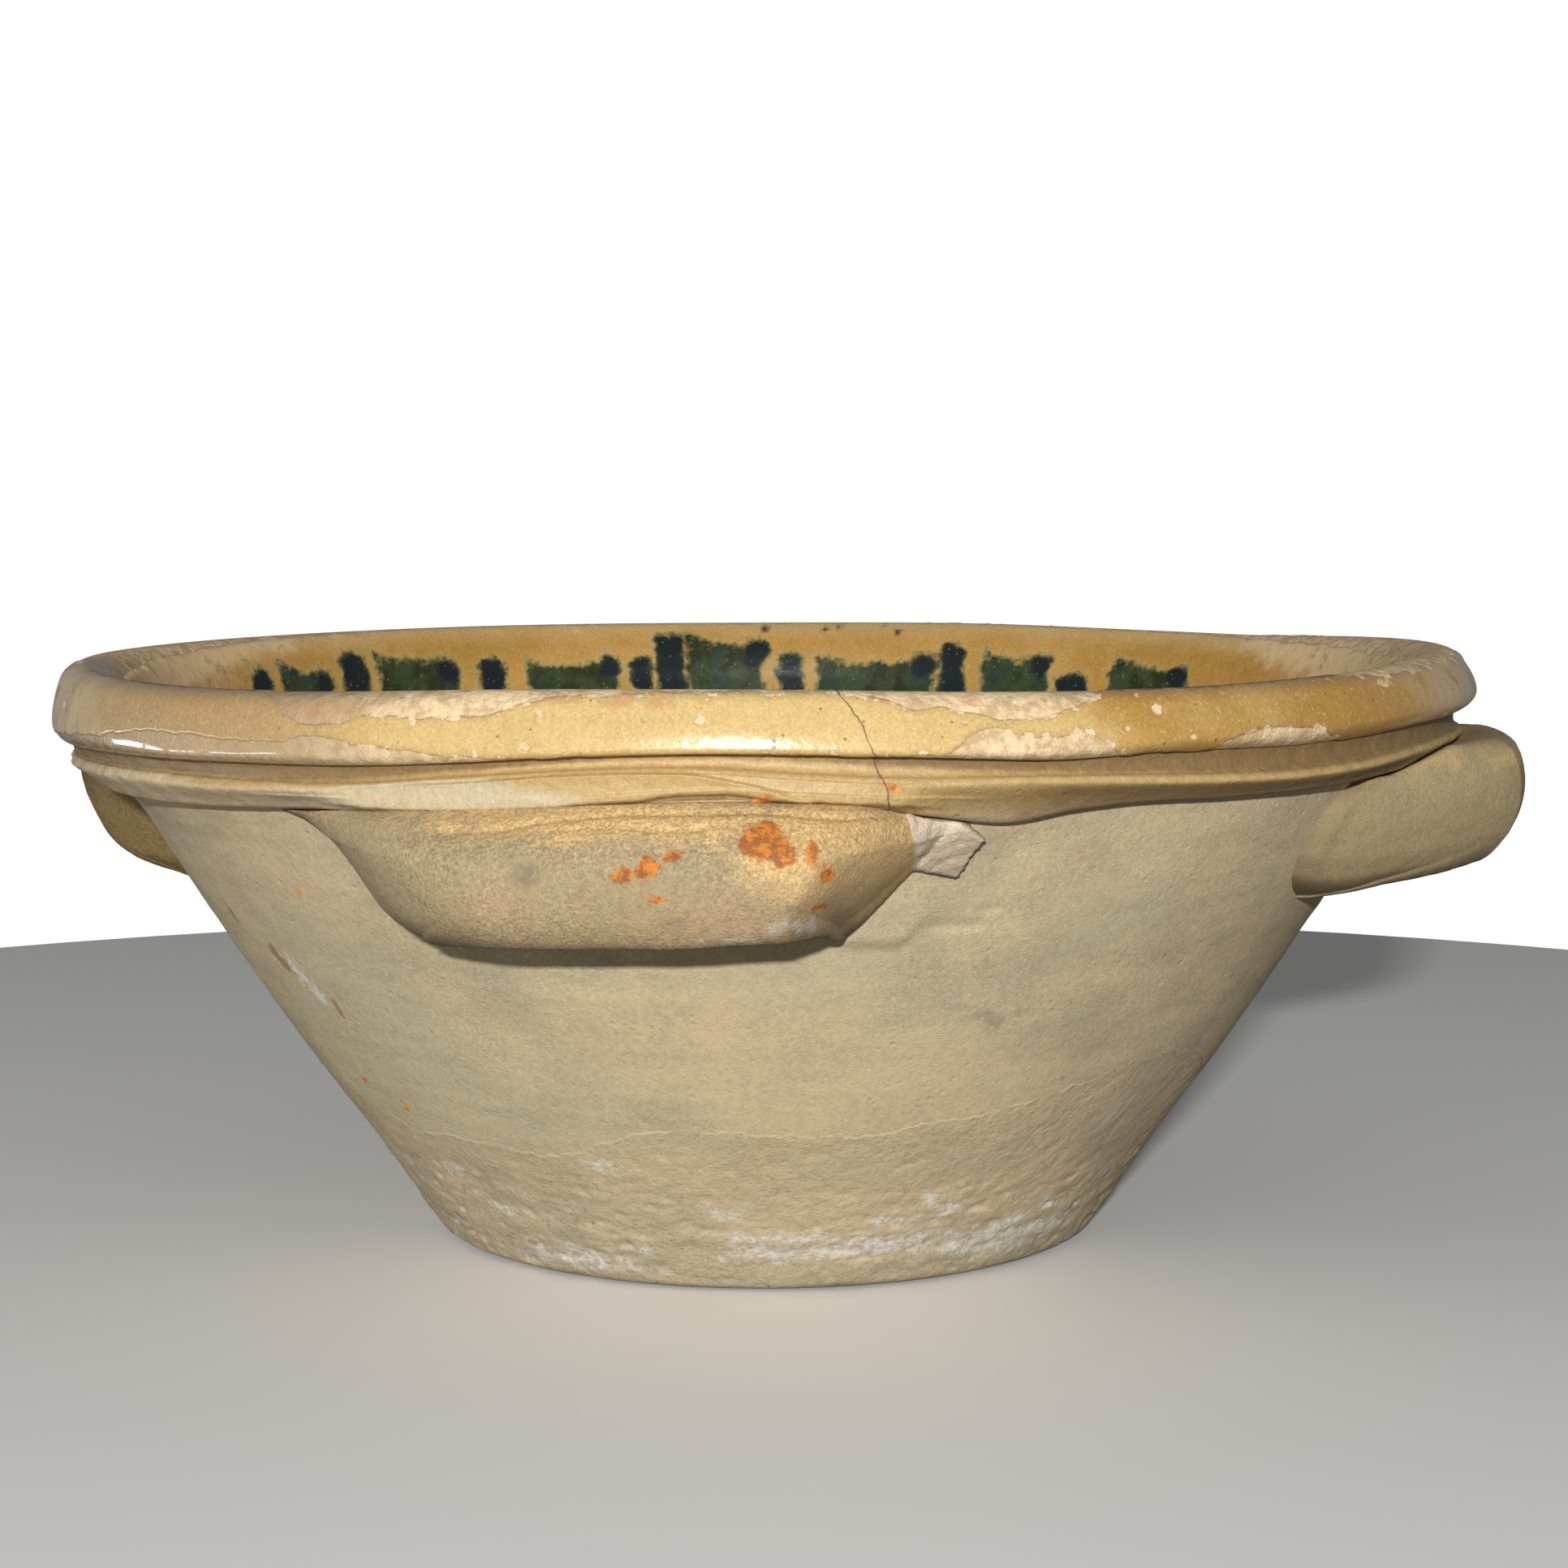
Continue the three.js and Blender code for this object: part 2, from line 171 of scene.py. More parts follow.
RUST_FADE = 0.55     # millimetres that the rust on the wall has shrunk by
BLUSH = (
    (0.6, 200, 6, 1.8), (3.4, 200.2, 6, 2), (-3, 201, 5, 1.2), (-11.7, 184.6, 1.6, 1.2),
    (-34, 201.5, 5, 2.4), (-31, 199, 3, 1.6), (59, 200, 4, 1.4), (-22, 199, 8, 1.4),
    (24, 201, 6, 1.4), (130, 199, 8, 2), (210, 201, 9, 2), (280, 200, 7, 1.8),
)
LIME = (
    (26, 17, 30, 4), (46, 14, 26, 5), (12, 15, 14, 3), (-20, 8, 24, 2.6),
    (-26, 9, 10, 1.8), (-18, 11, 7, 2), (48, 18, 9, 4), (52, 10, 10, 3),
    (42, 12, 8, 2.4), (28, 26, 5, 2.6), (33, 33, 4, 3), (5, 30, 4, 1.6),
    (-10, 46, 5, 2), (-30, 24, 4, 1.4), (17.1, 19.6, 9, 2.6), (24, 17.4, 11, 3.2),
    (31, 20, 8, 2.2), (8, 20.5, 6, 1.8), (36, 29, 7, 2.4), (59.6, 14, 9, 4),
    (56, 24, 6, 3.2), (-36.4, 36.3, 5, 2.2), (-42.8, 104, 3.6, 6), (-41.6, 98, 3, 4.6),
    (4, 134.6, 5, 1.4), (12.8, 139.4, 5, 1.8), (9.6, 136.6, 3.6, 1.2), (-8, 14, 5, 1.6),
    (100, 16, 12, 3), (141, 22, 9, 3), (188, 15, 12, 3.4), (243, 20, 9, 2.8),
    (286, 26, 7, 2.4),
)
SOOT = (
    (5, 140.6, 2.6, 1.6), (32.9, 97.6, 3.4, 2.2), (31.4, 100.6, 2.6, 1.2), (35.4, 101, 2.4, 1),
    (-4.2, 153.6, 4.6, 3.2), (-45.3, 109.3, 2.4, 2.4), (128, 60, 3, 2), (233, 101, 3, 2),
)
DRIPS = (
    (-45.6, 111.2, 2.6, 3), (-44.8, 107, 3.2, 2.8), (-43.8, 104.4, 2.6, 1.6),
    (-50.5, 122, 1.4, 3.6), (-39.2, 94, 1.4, 3.6), (110, 96, 3, 7), (196, 118, 3.4, 8),
)

# Broad tints of the clay: peach where the fire was hot, grey green where damp stood.
PEACH = (
    (6, 141, 34, 9), (-6, 146, 20, 8), (16, 152, 12, 10), (6, 96, 46, 24), (24, 74, 60, 20),
    (-33, 146, 22, 20), (30, 30, 60, 14), (-6, 46, 40, 14), (115, 90, 60, 30), (190, 60, 70, 24),
    (250, 110, 60, 34),
)
DAMP = (
    (-18, 150, 20, 18), (0, 152, 26, 5), (-36, 88, 44, 44), (-22, 62, 40, 14), (42, 130, 24, 12),
    (14, 116, 26, 8), (140, 120, 60, 30), (215, 100, 60, 40),
)

# Chips in the glaze of the rim, as ellipses of the same kind.
CHIPS = (
    (6.3, 196.4, 1.6, 1.5), (-4.5, 198.3, 1, 0.9), (2.7, 196.7, 0.9, 0.7), (6.6, 202.1, 1.2, 0.8),
    (-5.2, 188.8, 1.6, 1.1), (-13.6, 194.7, 1, 0.8), (37.9, 196.5, 1.9, 1.5), (36.8, 200.4, 0.8, 0.7),
    (38.4, 199.4, 0.9, 0.7), (40.4, 188.8, 1, 0.8), (35.2, 191.6, 0.8, 0.8), (62, 199.6, 4, 1.2),
    (73, 187, 2.6, 1.4), (-58, 192, 1.4, 1), (98, 195, 3, 1.6), (134, 192, 2, 1.4),
    (171, 197, 3.4, 1.4), (214, 193, 2.2, 1.6), (262, 196, 3, 1.4),
)

# Hairline crack across the rim, as (height, turn).
CRACK = (
    (160, 19.2), (172, 18.6), (181, 17.8), (186.4, 17.2), (191.6, 16.9), (197, 16.4), (200, 16.0),
    (206, 15.0),
)

FAR = -40.0     # millimetres outside every mark

# How each stain is laid: fray and size of its edge in millimetres, softness, and least and greatest strength.
STAINS = {
    "rust": (1.5, 3.6, 0.8, 0.85, 1.0),
    "lime": (3.2, 6.0, 2.2, 0.05, 0.8),
    "soot": (1.6, 4.0, 1.8, 0.1, 0.6),
    "umber": (0.9, 4.0, 0.4, 0.6, 0.8),
    "blush": (2.0, 4.5, 1.4, 0.1, 0.75),
    "peach": (7.0, 26.0, 9.0, 0.35, 0.75),
    "damp": (7.0, 26.0, 9.0, 0.3, 0.7),
}

# Tints that multiply a colour from grain to grain, the dark one first.
WALL_GRAIN = ((0.62, 0.58, 0.52), (1.2, 1.2, 1.18))
WALL_SALT = ((0.72, 0.69, 0.64), (1.26, 1.26, 1.27))
WALL_BLOTCHES = ((0.86, 0.87, 0.88), (1.14, 1.12, 1.08))
COLLAR_GRAIN = ((0.6, 0.57, 0.52), (1.35, 1.35, 1.3))
GLAZE_SALT = ((0.72, 0.70, 0.64), (1.25, 1.25, 1.28))
HANDLE_GRAIN = ((0.6, 0.56, 0.5), (1.3, 1.3, 1.27))
HANDLE_SALT = ((0.70, 0.67, 0.62), (1.28, 1.28, 1.28))
SCAR_GRAIN = ((0.90, 0.78, 0.61), (1.22, 1.10, 0.91))
RAW_TINT_AND_BOUNCE = (1.04, 1.05, 1.08)          # raw clay low on the base, a little paler and cooler: partly its own colour, partly painted floor bounce

# Creases where the top of the front handle was smeared up, as lines of (turn, height), depth and half width.
FOLDS = (
    (((-14, 163.4), (-7.7, 165.1), (-3.3, 168), (0.9, 170), (6, 170.9), (10.7, 171), (15.4, 169.4),
      (20, 169.2)), 0.9, 0.7),
    (((-1, 167.2), (1, 166.9), (4.5, 166.5), (7.6, 167.7), (11, 169.2)), 0.7, 0.6),
    (((-20, 160.6), (-12, 162.4), (-4, 165.4), (3, 167.6)), 0.4, 0.9),
)

# Broken end of the front handle, as (turn, height) corners.
SCAR = (
    (20, 167.8), (24.6, 166.8), (26.8, 161.8), (25.2, 147.4), (21.6, 150),
)

# Painted shade in the crevice at the front handle's left end: the turns and the heights over which it sets
# in.
TORN_END_SHADE = ((-22, -26), (150, 157))

# Handles, as pressed on. Lengths are in millimetres, and turns are counted from the handle's own middle,
# which stands at "turn". "reach" is the face past the bulge of the rim, "brow" the height of the top at the
# lip of the collar, "belly" the fullest place below the collar and "draw" how far the face is drawn in at
# "drop". "over" and "lip" are the heights of the rounded top and lower edge, "slope" the bevelled share of
# the top, "flare" how far the top is pulled up and "blunt" how far the ends stand off the wall. A flank gives
# the turns where it meets the wall, from 0 at the top to 1 below, and where it leaves the face, above and
# below. "swell" and "straight" give the shapes of the two flanks. The lower edge is a line of (turn, height).
# "dents" is a depth and "shade" is painted shade as (strength, height where it starts, height where it is
# full): darker low down on the front handle and under the collar on the left one. "tone" multiplies the
# whole colour; the darker tones of the left and right handles are partly their browner clay and partly
# painted shade. The smears of glaze are soft ellipses like the marks of age, at turns of the whole basin.
HANDLES = (
    {
        "name": "front", "turn": 0, "reach": 14, "drop": 34, "brow": 167.8, "belly": 15, "draw": 7,
        "over": 13, "lip": 11, "slope": 0.3, "flare": 0, "blunt": 0,
        "straight": (1, 0.9), "swell": (1.7, 1.3),
        "left": {"wall": ((0, -31.5), (0.1, -29), (0.22, -26.4), (0.45, -24.8), (0.75, -23.6), (0.9, -21.4),
                          (1, -16)), "face": (-9, -6)},
        "right": {"wall": ((0, 26.5), (0.5, 22.6), (1, 17.2)), "face": (14.5, 11)},
        "lower": ((-33, 148), (-27, 135), (-25.4, 132), (-23.5, 129.4), (-20, 126.6), (-17, 125.8),
                  (-14, 126.8), (-11.5, 128.6), (-6, 130), (0, 130.5), (6, 131.2), (11.4, 131.8), (14, 131.4),
                  (16, 129.4), (17.4, 127.8), (20, 130), (27, 150)),
        "folds": FOLDS, "scar": SCAR, "tear": TORN_END_SHADE, "dents": 0.8, "shade": (0.25, 142, 132),
        # The smears on the right flank are glaze, made broad and bright also as painted light on that flank.
        "smears": ((14, 160, 24, 14), (20, 150, 18, 16), (0, 168, 60, 5)),
        "tone": (0.76, 0.70, 0.63), "shine": 0.4, "grit": 0.58,
    },
    {
        "name": "right", "turn": 90, "reach": 12.8, "drop": 24, "brow": 172.6, "belly": 7, "draw": 5.6,
        "over": 8, "lip": 11, "slope": 0, "flare": 4.5, "blunt": 4.6,
        "straight": (0.8, 0.4), "swell": (1, 1),
        "left": {"wall": ((0, -23.6), (0.1, -25.6), (0.22, -26.9), (0.4, -27.6), (0.65, -27.6), (0.85, -26.2),
                          (1, -21)), "face": (-9, -8)},
        "right": {"wall": ((0, 22), (0.1, 25), (0.25, 27), (0.6, 27.4), (0.85, 26), (1, 20)),
                  "face": (9, 7)},
        "lower": ((-31, 150), (-28.8, 141), (-27.2, 134), (-25, 129.4), (-20.5, 127.6), (-16, 129.8),
                  (-8, 134.8), (0, 138), (9, 135.2), (16, 132.6), (21, 130), (25, 131), (27, 137), (30, 150)),
        "folds": (), "scar": None, "tear": None, "dents": 0.45, "shade": (0, 140, 160),
        "smears": ((90, 173, 50, 3),),
        # Darker tone: partly browner clay, partly painted shade.
        "tone": (0.65, 0.605, 0.52), "shine": 0.35, "grit": 0.26,
    },
    {
        "name": "back", "turn": 175, "reach": 16, "drop": 33, "brow": 173.1, "belly": 8, "draw": 9, "over": 9,
        "lip": 8, "slope": 0.2, "flare": 0, "blunt": 0,
        "straight": (0.6, 0.6), "swell": (1.5, 1.5),
        "left": {"wall": ((0, -29), (0.3, -25.5), (0.8, -24.5), (1, -21)), "face": (-10, -8)},
        "right": {"wall": ((0, 29), (0.3, 25.5), (0.8, 24.5), (1, 21)), "face": (10, 8)},
        "lower": ((-28, 150), (-22, 128), (-10, 131.5), (0, 133), (10, 131.5), (22, 128), (28, 150)),
        "folds": (), "scar": None, "tear": None, "dents": 0.45, "shade": (0, 140, 160),
        "smears": ((180, 164, 40, 8),),
        "tone": (0.90, 0.86, 0.80), "shine": 0.4, "grit": 0.4,
    },
    {
        "name": "left", "turn": 256, "reach": 14.6, "drop": 34, "brow": 173.1, "belly": 4, "draw": 8,
        "over": 8, "lip": 9, "slope": 0.2, "flare": 0, "blunt": 1,
        "straight": (0.3, 0.3), "swell": (1, 1),
        "left": {"wall": ((0, -22), (0.1, -25), (0.25, -27.4), (0.6, -27.8), (0.85, -26.4), (1, -21)),
                 "face": (-10, -8)},
        "right": {"wall": ((0, 24), (0.1, 26.4), (0.3, 28), (0.85, 28), (1, 26)),
                  "face": (12, 10)},
        "lower": ((-29, 148), (-25, 129), (-20, 125), (-10, 129.7), (0, 132), (10, 129.7), (20, 122.6),
                  (25, 120.4), (28, 122), (31, 140)),
        "folds": (), "scar": None, "tear": None, "dents": 0.45, "shade": (0.6, 140, 162),
        "smears": ((250, 150, 40, 20),),
        # Darker tone: partly browner clay, partly painted shade.
        "tone": (0.51, 0.44, 0.305), "shine": 0.08, "grit": 0.5,
    },
)
FLANK_STEPS = 141      # places at which the line of a flank is worked out
FLANK_SOFT = 8         # places to each side over which its corners are smoothed

# Lights, in metres: size, turn from the camera's side in radians, distance from the axis and height.
LIGHTS = {
    "key": ((0.13, 0.05), -0.05, 2.4, 0.66),
    "side": ((1.1, 0.12), -np.radians(94), 1.5, 0.07),
}
LIGHT_AIM = 0.16          # height that the lights look at
SURROUND_SEEN = 1.02      # brightness of the surround as the camera sees it
FLOOR_BOUNCE = 0.2        # share of its colour that the floor throws back on the basin
FLOOR_DROP = 0.3 * mm     # floor below the foot


def length(name, description, default):
    return bpy.props.FloatProperty(
        name=name, description=description, default=default, min=0.0, precision=4, unit="LENGTH")


def colour(name, description, default):
    return bpy.props.FloatVectorProperty(
        name=name, description=description, default=default, min=0.0, max=1.0, size=3, subtype="COLOR")


class BasinSizes(bpy.types.PropertyGroup):
    """Sizes of the basin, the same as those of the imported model."""

    rim_radius: length("Rim radius", "Greatest radius, on the bulge of the rim roll", 249 * mm)
    rim_height: length("Rim height", "Crest of the rim above the table", 204 * mm)
    foot_radius: length("Foot radius", "Where the line of the side meets the table", 117 * mm)
    foot_round: length("Foot round", "Rounding of the edge of the foot", 4 * mm)
    floor_thickness: length("Floor thickness", "Clay under the inside of the bowl", 14 * mm)
    floor_fillet: length("Floor fillet", "Reach of the curve from the floor up into the wall", 32 * mm)
    seam_radius: length("Seam radius", "Outside, where the wall stands on the base", 142 * mm)
    seam_height: length("Seam height", "Seam of the base and the wall above the table", 37 * mm)
    lap_height: length("Lap height", "Lap of the base inside the foot of the wall", 6 * mm)
    wall_across: length("Wall", "Thickness of the wall, measured level", 13 * mm)
    wall_belly: length("Belly", "How far the wall swells out of a straight cone", 2.4 * mm)
    rim_overhang: length("Rim overhang", "Bulge of the rim past the wall under the collar", 22 * mm)
    shoulder_lean: length("Shoulder", "How far the wall leans out behind the collar", 5 * mm)
    roll_height: length("Roll height", "Crest of the rim down to the foot of the roll", 22 * mm)
    crest_inset: length("Crest inset", "Crest in from the bulge", 12 * mm)
    collar_drop: length("Collar drop", "Crest of the rim down to the underside of the collar", 38 * mm)
    collar_shelf: length("Collar shelf", "Level part of the underside of the collar", 7 * mm)
    lip_drop: length("Lip drop", "Crest of the rim down to the lip of the collar", 31.5 * mm)
    lip_inset: length("Lip inset", "Lip of the collar in from the bulge of the rim", 4 * mm)
    lip_height: length("Lip height", "Height of the lip of the collar", 3.4 * mm)
    cove_depth: length("Cove", "Hollow between the lip and the roll", 3.2 * mm)
    glaze: length("Glaze", "How far the glaze stands on the clay", 0.4 * mm)
    handle_thickness: length("Handle", "Thickness of a handle at its lower edge", 14 * mm)
    lean: length("Lean", "Rim raised on one side and lowered on the other", 2 * mm)


class BasinColours(bpy.types.PropertyGroup):
    """Colours of the clay, the glaze and the marks of age."""

    buff: colour("Buff clay", "Bare clay of the wall", (0.635, 0.515, 0.32))
    grey: colour("Grey clay", "Dull clay in the cloudy parts", (0.53, 0.45, 0.29))
    pink: colour("Pink clay", "Warm clay where the fire touched it", (0.58, 0.425, 0.25))
    raw: colour("Raw clay", "Rough clay below the slip", (0.50, 0.375, 0.225))
    toasted: colour("Toasted clay", "Darker clouds of the bare rim", (0.58, 0.41, 0.22))
    cream: colour("Cream clay", "Paler clouds of the bare rim", (0.84, 0.64, 0.38))
    scorched: colour("Scorched clay", "Brown patches of the bare rim", (0.56, 0.36, 0.175))
    crazing: colour("Crazing", "Fine cracks of the bare rim", (0.30, 0.19, 0.10))
    gloss: colour("Gloss", "Clay of the rim under a thin shine", (0.44, 0.30, 0.155))
    thread: colour("Thread", "Hairline crack", (0.10, 0.065, 0.035))
    wash: colour("Wash", "Thin glaze on the collar", (0.51, 0.33, 0.105))
    # Dirt and painted shade in the cove and in the split.
    cove: colour("Cove", "Dirt in the cove and in the split", (0.20, 0.122, 0.05))
    straw: colour("Straw glaze", "Pale glaze on the face of the rim", (0.67, 0.475, 0.19))
    streak: colour("Streaks", "Browner streaks in it", (0.56, 0.33, 0.09))
    thin: colour("Thin glaze", "Glaze of the rim on the left", (0.44, 0.285, 0.125))
    glaze_edge: colour("Edge", "Glaze thinning out at its worn edges", (0.42, 0.27, 0.11))
    chip_edge: colour("Chip", "Dark line round a chip", (0.30, 0.18, 0.075))
    dust: colour("Dust", "Pale dust in the glaze of the rim", (0.80, 0.65, 0.42))
    rubbed: colour("Rubbed", "Specks rubbed off the glaze of the rim", (0.62, 0.46, 0.26))
    # Milky wear and painted sheen at the two sides of the rim, where it turns away from the view.
    scuffed: colour("Scuffed", "Milky scuffs on the rim at the sides", (0.86, 0.70, 0.45))
    ochre: colour("Ochre glaze", "Deep glaze inside and on the right of the rim", (0.46, 0.25, 0.052))
    honey: colour("Honey glaze", "Lighter glaze inside", (0.56, 0.32, 0.095))
    toffee: colour("Toffee glaze", "Darker streaks inside", (0.36, 0.185, 0.045))
    pale: colour("Pale glaze", "Glaze inside where it ends under the crest", (0.70, 0.475, 0.20))
    bare: colour("Bare inside", "Clay where the inside of the rim is worn", (0.80, 0.60, 0.345))
    grime: colour("Grime", "Dirty streaks on it", (0.24, 0.15, 0.075))
    umber: colour("Umber", "Glaze thickened and dirty in the hollows", (0.25, 0.145, 0.055))
    umber_pale: colour("Thin umber", "Thin brown glaze", (0.34, 0.215, 0.095))
    green: colour("Copper green", "Body of the brush marks", (0.011, 0.024, 0.011))
    moss: colour("Moss", "Brush marks where they are thin", (0.032, 0.058, 0.026))
    teal: colour("Teal", "Bluer parts of the brush marks", (0.016, 0.050, 0.040))
    fleck: colour("Flecks", "Pale flecks in the brush marks", (0.24, 0.30, 0.14))
    ink: colour("Ink", "Pools at the ends of the brush marks", (0.014, 0.019, 0.025))
    halo: colour("Halo", "Milky glaze round the brush marks", (0.46, 0.42, 0.17))
    smear: colour("Smear", "Glaze smeared on the handles", (0.98, 0.71, 0.34))
    sand: colour("Sand", "Pale grit in the handles", (0.84, 0.74, 0.57))
    # Dirt and painted shade where a handle meets the wall.
    joint: colour("Joint", "Dirt where a handle meets the wall", (0.30, 0.235, 0.14))
    crease: colour("Crease", "Dirt under a handle and in its torn edge", (0.09, 0.065, 0.04))
    # Painted shade under the handles, in the crevice at the front handle's torn end and by height on the
    # front and left ones.
    rust: colour("Rust", "Rust stains", (0.44, 0.125, 0.02))
    rust_pale: colour("Orange rust", "Rust where it lies thick and powdery", (0.95, 0.36, 0.06))
    lime: colour("Lime", "White lime scale", (0.78, 0.74, 0.64))
    lime_pale: colour("Chalk", "Lime where it lies thick", (0.82, 0.79, 0.71))
    blush: colour("Blush", "Red iron stain under the glaze", (0.42, 0.17, 0.075))
    blush_pale: colour("Pale blush", "Iron stain where it is thin", (0.58, 0.30, 0.14))
    peach: colour("Peach", "Clay where the fire was hot", (0.60, 0.445, 0.265))
    peach_pale: colour("Pale peach", "Lighter flecks in it", (0.68, 0.515, 0.31))
    damp: colour("Damp", "Grey green clay where damp stood", (0.47, 0.42, 0.265))
    damp_pale: colour("Pale damp", "Lighter flecks in it", (0.56, 0.495, 0.31))
    soot: colour("Soot", "Dark smudges and specks", (0.10, 0.09, 0.075))
    soot_pale: colour("Smoke", "Soot where it is thin", (0.24, 0.21, 0.17))


class BasinStage(bpy.types.PropertyGroup):
    """Camera and light."""

    view_turn: bpy.props.FloatProperty(
        name="View turn", description="Where the camera stands, counted from the front handle",
        default=np.radians(10.5), subtype="ANGLE", unit="ROTATION")
    view_distance: length("View distance", "Camera to the axis of the bowl", 1.10875)
    view_height: length("View height", "Camera above the table", 0.25775)
    view_pitch: bpy.props.FloatProperty(
        name="View pitch", description="How far the camera looks down",
        default=np.radians(5.254), subtype="ANGLE", unit="ROTATION")
    view_swing: bpy.props.FloatProperty(
        name="View swing", description="How far the camera looks to the right of the axis",
        default=np.radians(0.354), subtype="ANGLE", unit="ROTATION")
    focal_length: bpy.props.FloatProperty(
        name="Focal length", description="Millimetres on a 36 mm sensor", default=70.92, min=1.0)
    floor_radius: length("Floor radius", "How far the floor goes", 0.8)
    floor: colour("Floor", "Plain pale floor", (0.94, 0.94, 0.93))
    sky: colour("Surround", "Even light from all round", (1.0, 1.0, 1.0))
    sky_strength: bpy.props.FloatProperty(
        name="Surround strength", description="Strength of the even light", default=0.15, min=0.0)
    key_power: bpy.props.FloatProperty(
        name="Key power", description="Watts of the light over the camera", default=60.0, min=0.0,
        unit="POWER")
    side_power: bpy.props.FloatProperty(
        name="Side power", description="Watts of the long low light on the left", default=3.6, min=0.0,
        unit="POWER")


def blend(a, b, share):
    return a + (b - a) * share


def ease(value, low, high):
    """Smooth step from 0 at low to 1 at high."""
    share = np.clip((value - low) / (high - low), 0, 1)
    return share * share * (3 - 2 * share)


def between(turn, at):
    """Turn from one place to another, the short way, in degrees."""
    return (turn - at + 180) % 360 - 180


def around(pairs, turn):
    """Smooth closed line through (turn, value) pairs: a cubic between neighbours, with mean slopes."""
    knots, values = np.array(sorted(pairs), float).T
    knots = np.concatenate([knots[-2:] - 360, knots, knots[:2] + 360])
    values = np.concatenate([values[-2:], values, values[:2]])
    slopes = np.gradient(values, knots)
    turn = between(turn, 0)
    low = np.clip(np.searchsorted(knots, turn, side="right") - 1, 0, len(knots) - 2)
    width = knots[low + 1] - knots[low]
    t = (turn - knots[low]) / width
    rise = t * t * (3 - 2 * t)
    start = t * (1 - t) ** 2 * width * slopes[low]
    end = t * t * (t - 1) * width * slopes[low + 1]
    return blend(values[low], values[low + 1], rise) + start + end


def stretch(turn, start, full, fade, end):
    """1 from full to fade, eased down to 0 at start and at end."""
    return ease(turn, start, full) * ease(turn, end, fade)


def hump(turn, at, width):
    """Smooth hump of height 1 round one turn."""
    return np.exp(-(between(turn, at) / width) ** 2)


def cloud(points, size, seed, octaves=3):
    """Noise from -1 to 1: random values on a cubic lattice, eased between corners, in halving octaves."""
    table = np.random.default_rng(seed).uniform(-1, 1, 4096)
    total = np.zeros(points.shape[:-1])
    weight = 0.0
    for octave in range(octaves):
        scaled = points * (2 ** octave / size) + 17.3 * octave
        cell = np.floor(scaled).astype(np.int64)
        part = scaled - cell
        part = part * part * part * (part * (part * 6 - 15) + 10)
        value = np.zeros(points.shape[:-1])
        for corner in range(8):
            step = np.array([corner & 1, corner >> 1 & 1, corner >> 2 & 1])
            share = np.where(step, part, 1 - part).prod(-1)
            keys = (cell + step) * np.array([73856093, 19349663, 83492791])
            value += share * table[np.bitwise_xor.reduce(keys, axis=-1) & 4095]
        total += value * 0.5 ** octave
        weight += 0.5 ** octave
    return total / weight


def lean_at(sizes, radius, height, turn):
    """Lean of the whole rim, growing with the square of the height."""
    share = (height / sizes.rim_height) ** 2 * (radius / sizes.rim_radius)
    return sizes.lean * share * np.cos(np.radians(turn - 100))


def settle(sizes, radius, height, turn):
    """Height after the soft clay moved: the lines of the rim rise and fall round the turn, and all leans.

    Between the even lines the rise is eased from one to the next. Inside the throat only the crest moves.
    """
    waist = 110 * mm
    collar = sizes.rim_height - sizes.collar_drop
    lip = sizes.rim_height - sizes.lip_drop + sizes.lip_height / 2
    levels = [waist, collar, lip, sizes.rim_height - sizes.roll_height, sizes.rim_height]
    lines = [0 * turn] + [around(line, turn) * mm for line in
                          (COLLAR_FOOT_RISE, LIP_RISE, ROLL_FOOT_RISE, CREST_RISE)]
    outer = np.zeros(np.broadcast(radius, height, turn).shape)
    for low, high, below, above in zip(levels, levels[1:], lines, lines[1:]):
        outer += (above - below) * ease(height, low, high)
    inner = lines[-1] * ease(height, levels[-2], levels[-1])
    wall_top = sizes.rim_radius - sizes.rim_overhang
    throat = wall_top + sizes.shoulder_lean - sizes.wall_across
    outside = np.clip((radius - throat) / (wall_top - throat), 0, 1)
    return height + blend(inner, outer, outside) + lean_at(sizes, radius, height, turn)


def spun(radius, height, turn):
    """Points round the axis: the radius times the sine and minus the cosine of the turn, and the height."""
    angle = np.radians(turn)
    return np.stack(np.broadcast_arrays(radius * np.sin(angle), -radius * np.cos(angle), height), axis=-1)


def settled(sizes, radius, height, turn):
    return spun(radius, settle(sizes, radius, height, turn), turn)


def normals(points):
    """Unit normals of a grid whose columns close: the cross product of its two differences."""
    along = np.roll(points, -1, 1) - np.roll(points, 1, 1)
    normal = np.cross(along, np.gradient(points, axis=0))
    return normal / np.linalg.norm(normal, axis=-1, keepdims=True).clip(1e-12)


def quadratic(a, b, c, t):
    """Quadratic curve with its control point b, as (radius, height)."""
    return np.stack(np.broadcast_arrays(*[
        (1 - t) ** 2 * a[k] + 2 * t * (1 - t) * b[k] + t * t * c[k] for k in range(2)]))


def cubic(a, b, c, d, t):
    """Cubic curve with its control points b and c, as (radius, height)."""
    return np.stack(np.broadcast_arrays(*[
        (1 - t) ** 3 * a[k] + 3 * t * (1 - t) ** 2 * b[k] + 3 * t * t * (1 - t) * c[k] + t ** 3 * d[k]
        for k in range(2)]))


def column(values):
    """A line of values as one column."""
    return np.asarray(values, float)[:, None]


def column_turns(columns):
    """One row of turns, all round in degrees."""
    return np.linspace(-180, 180, columns, endpoint=False)[None, :]


def wall_radius(sizes, height):
    """Outside of the bowl: a straight side up to the seam, then a cone swollen by a parabola."""
    collar = sizes.rim_height - sizes.collar_drop
    share = np.clip((height - sizes.seam_height) / (collar - sizes.seam_height), 0, 1)
    cone = blend(sizes.seam_radius, sizes.rim_radius - sizes.rim_overhang, share)
    side = blend(sizes.foot_radius, sizes.seam_radius, np.clip(height / sizes.seam_height, 0, 1))
    return np.where(height < sizes.seam_height, side, cone + 4 * sizes.wall_belly * share * (1 - share))


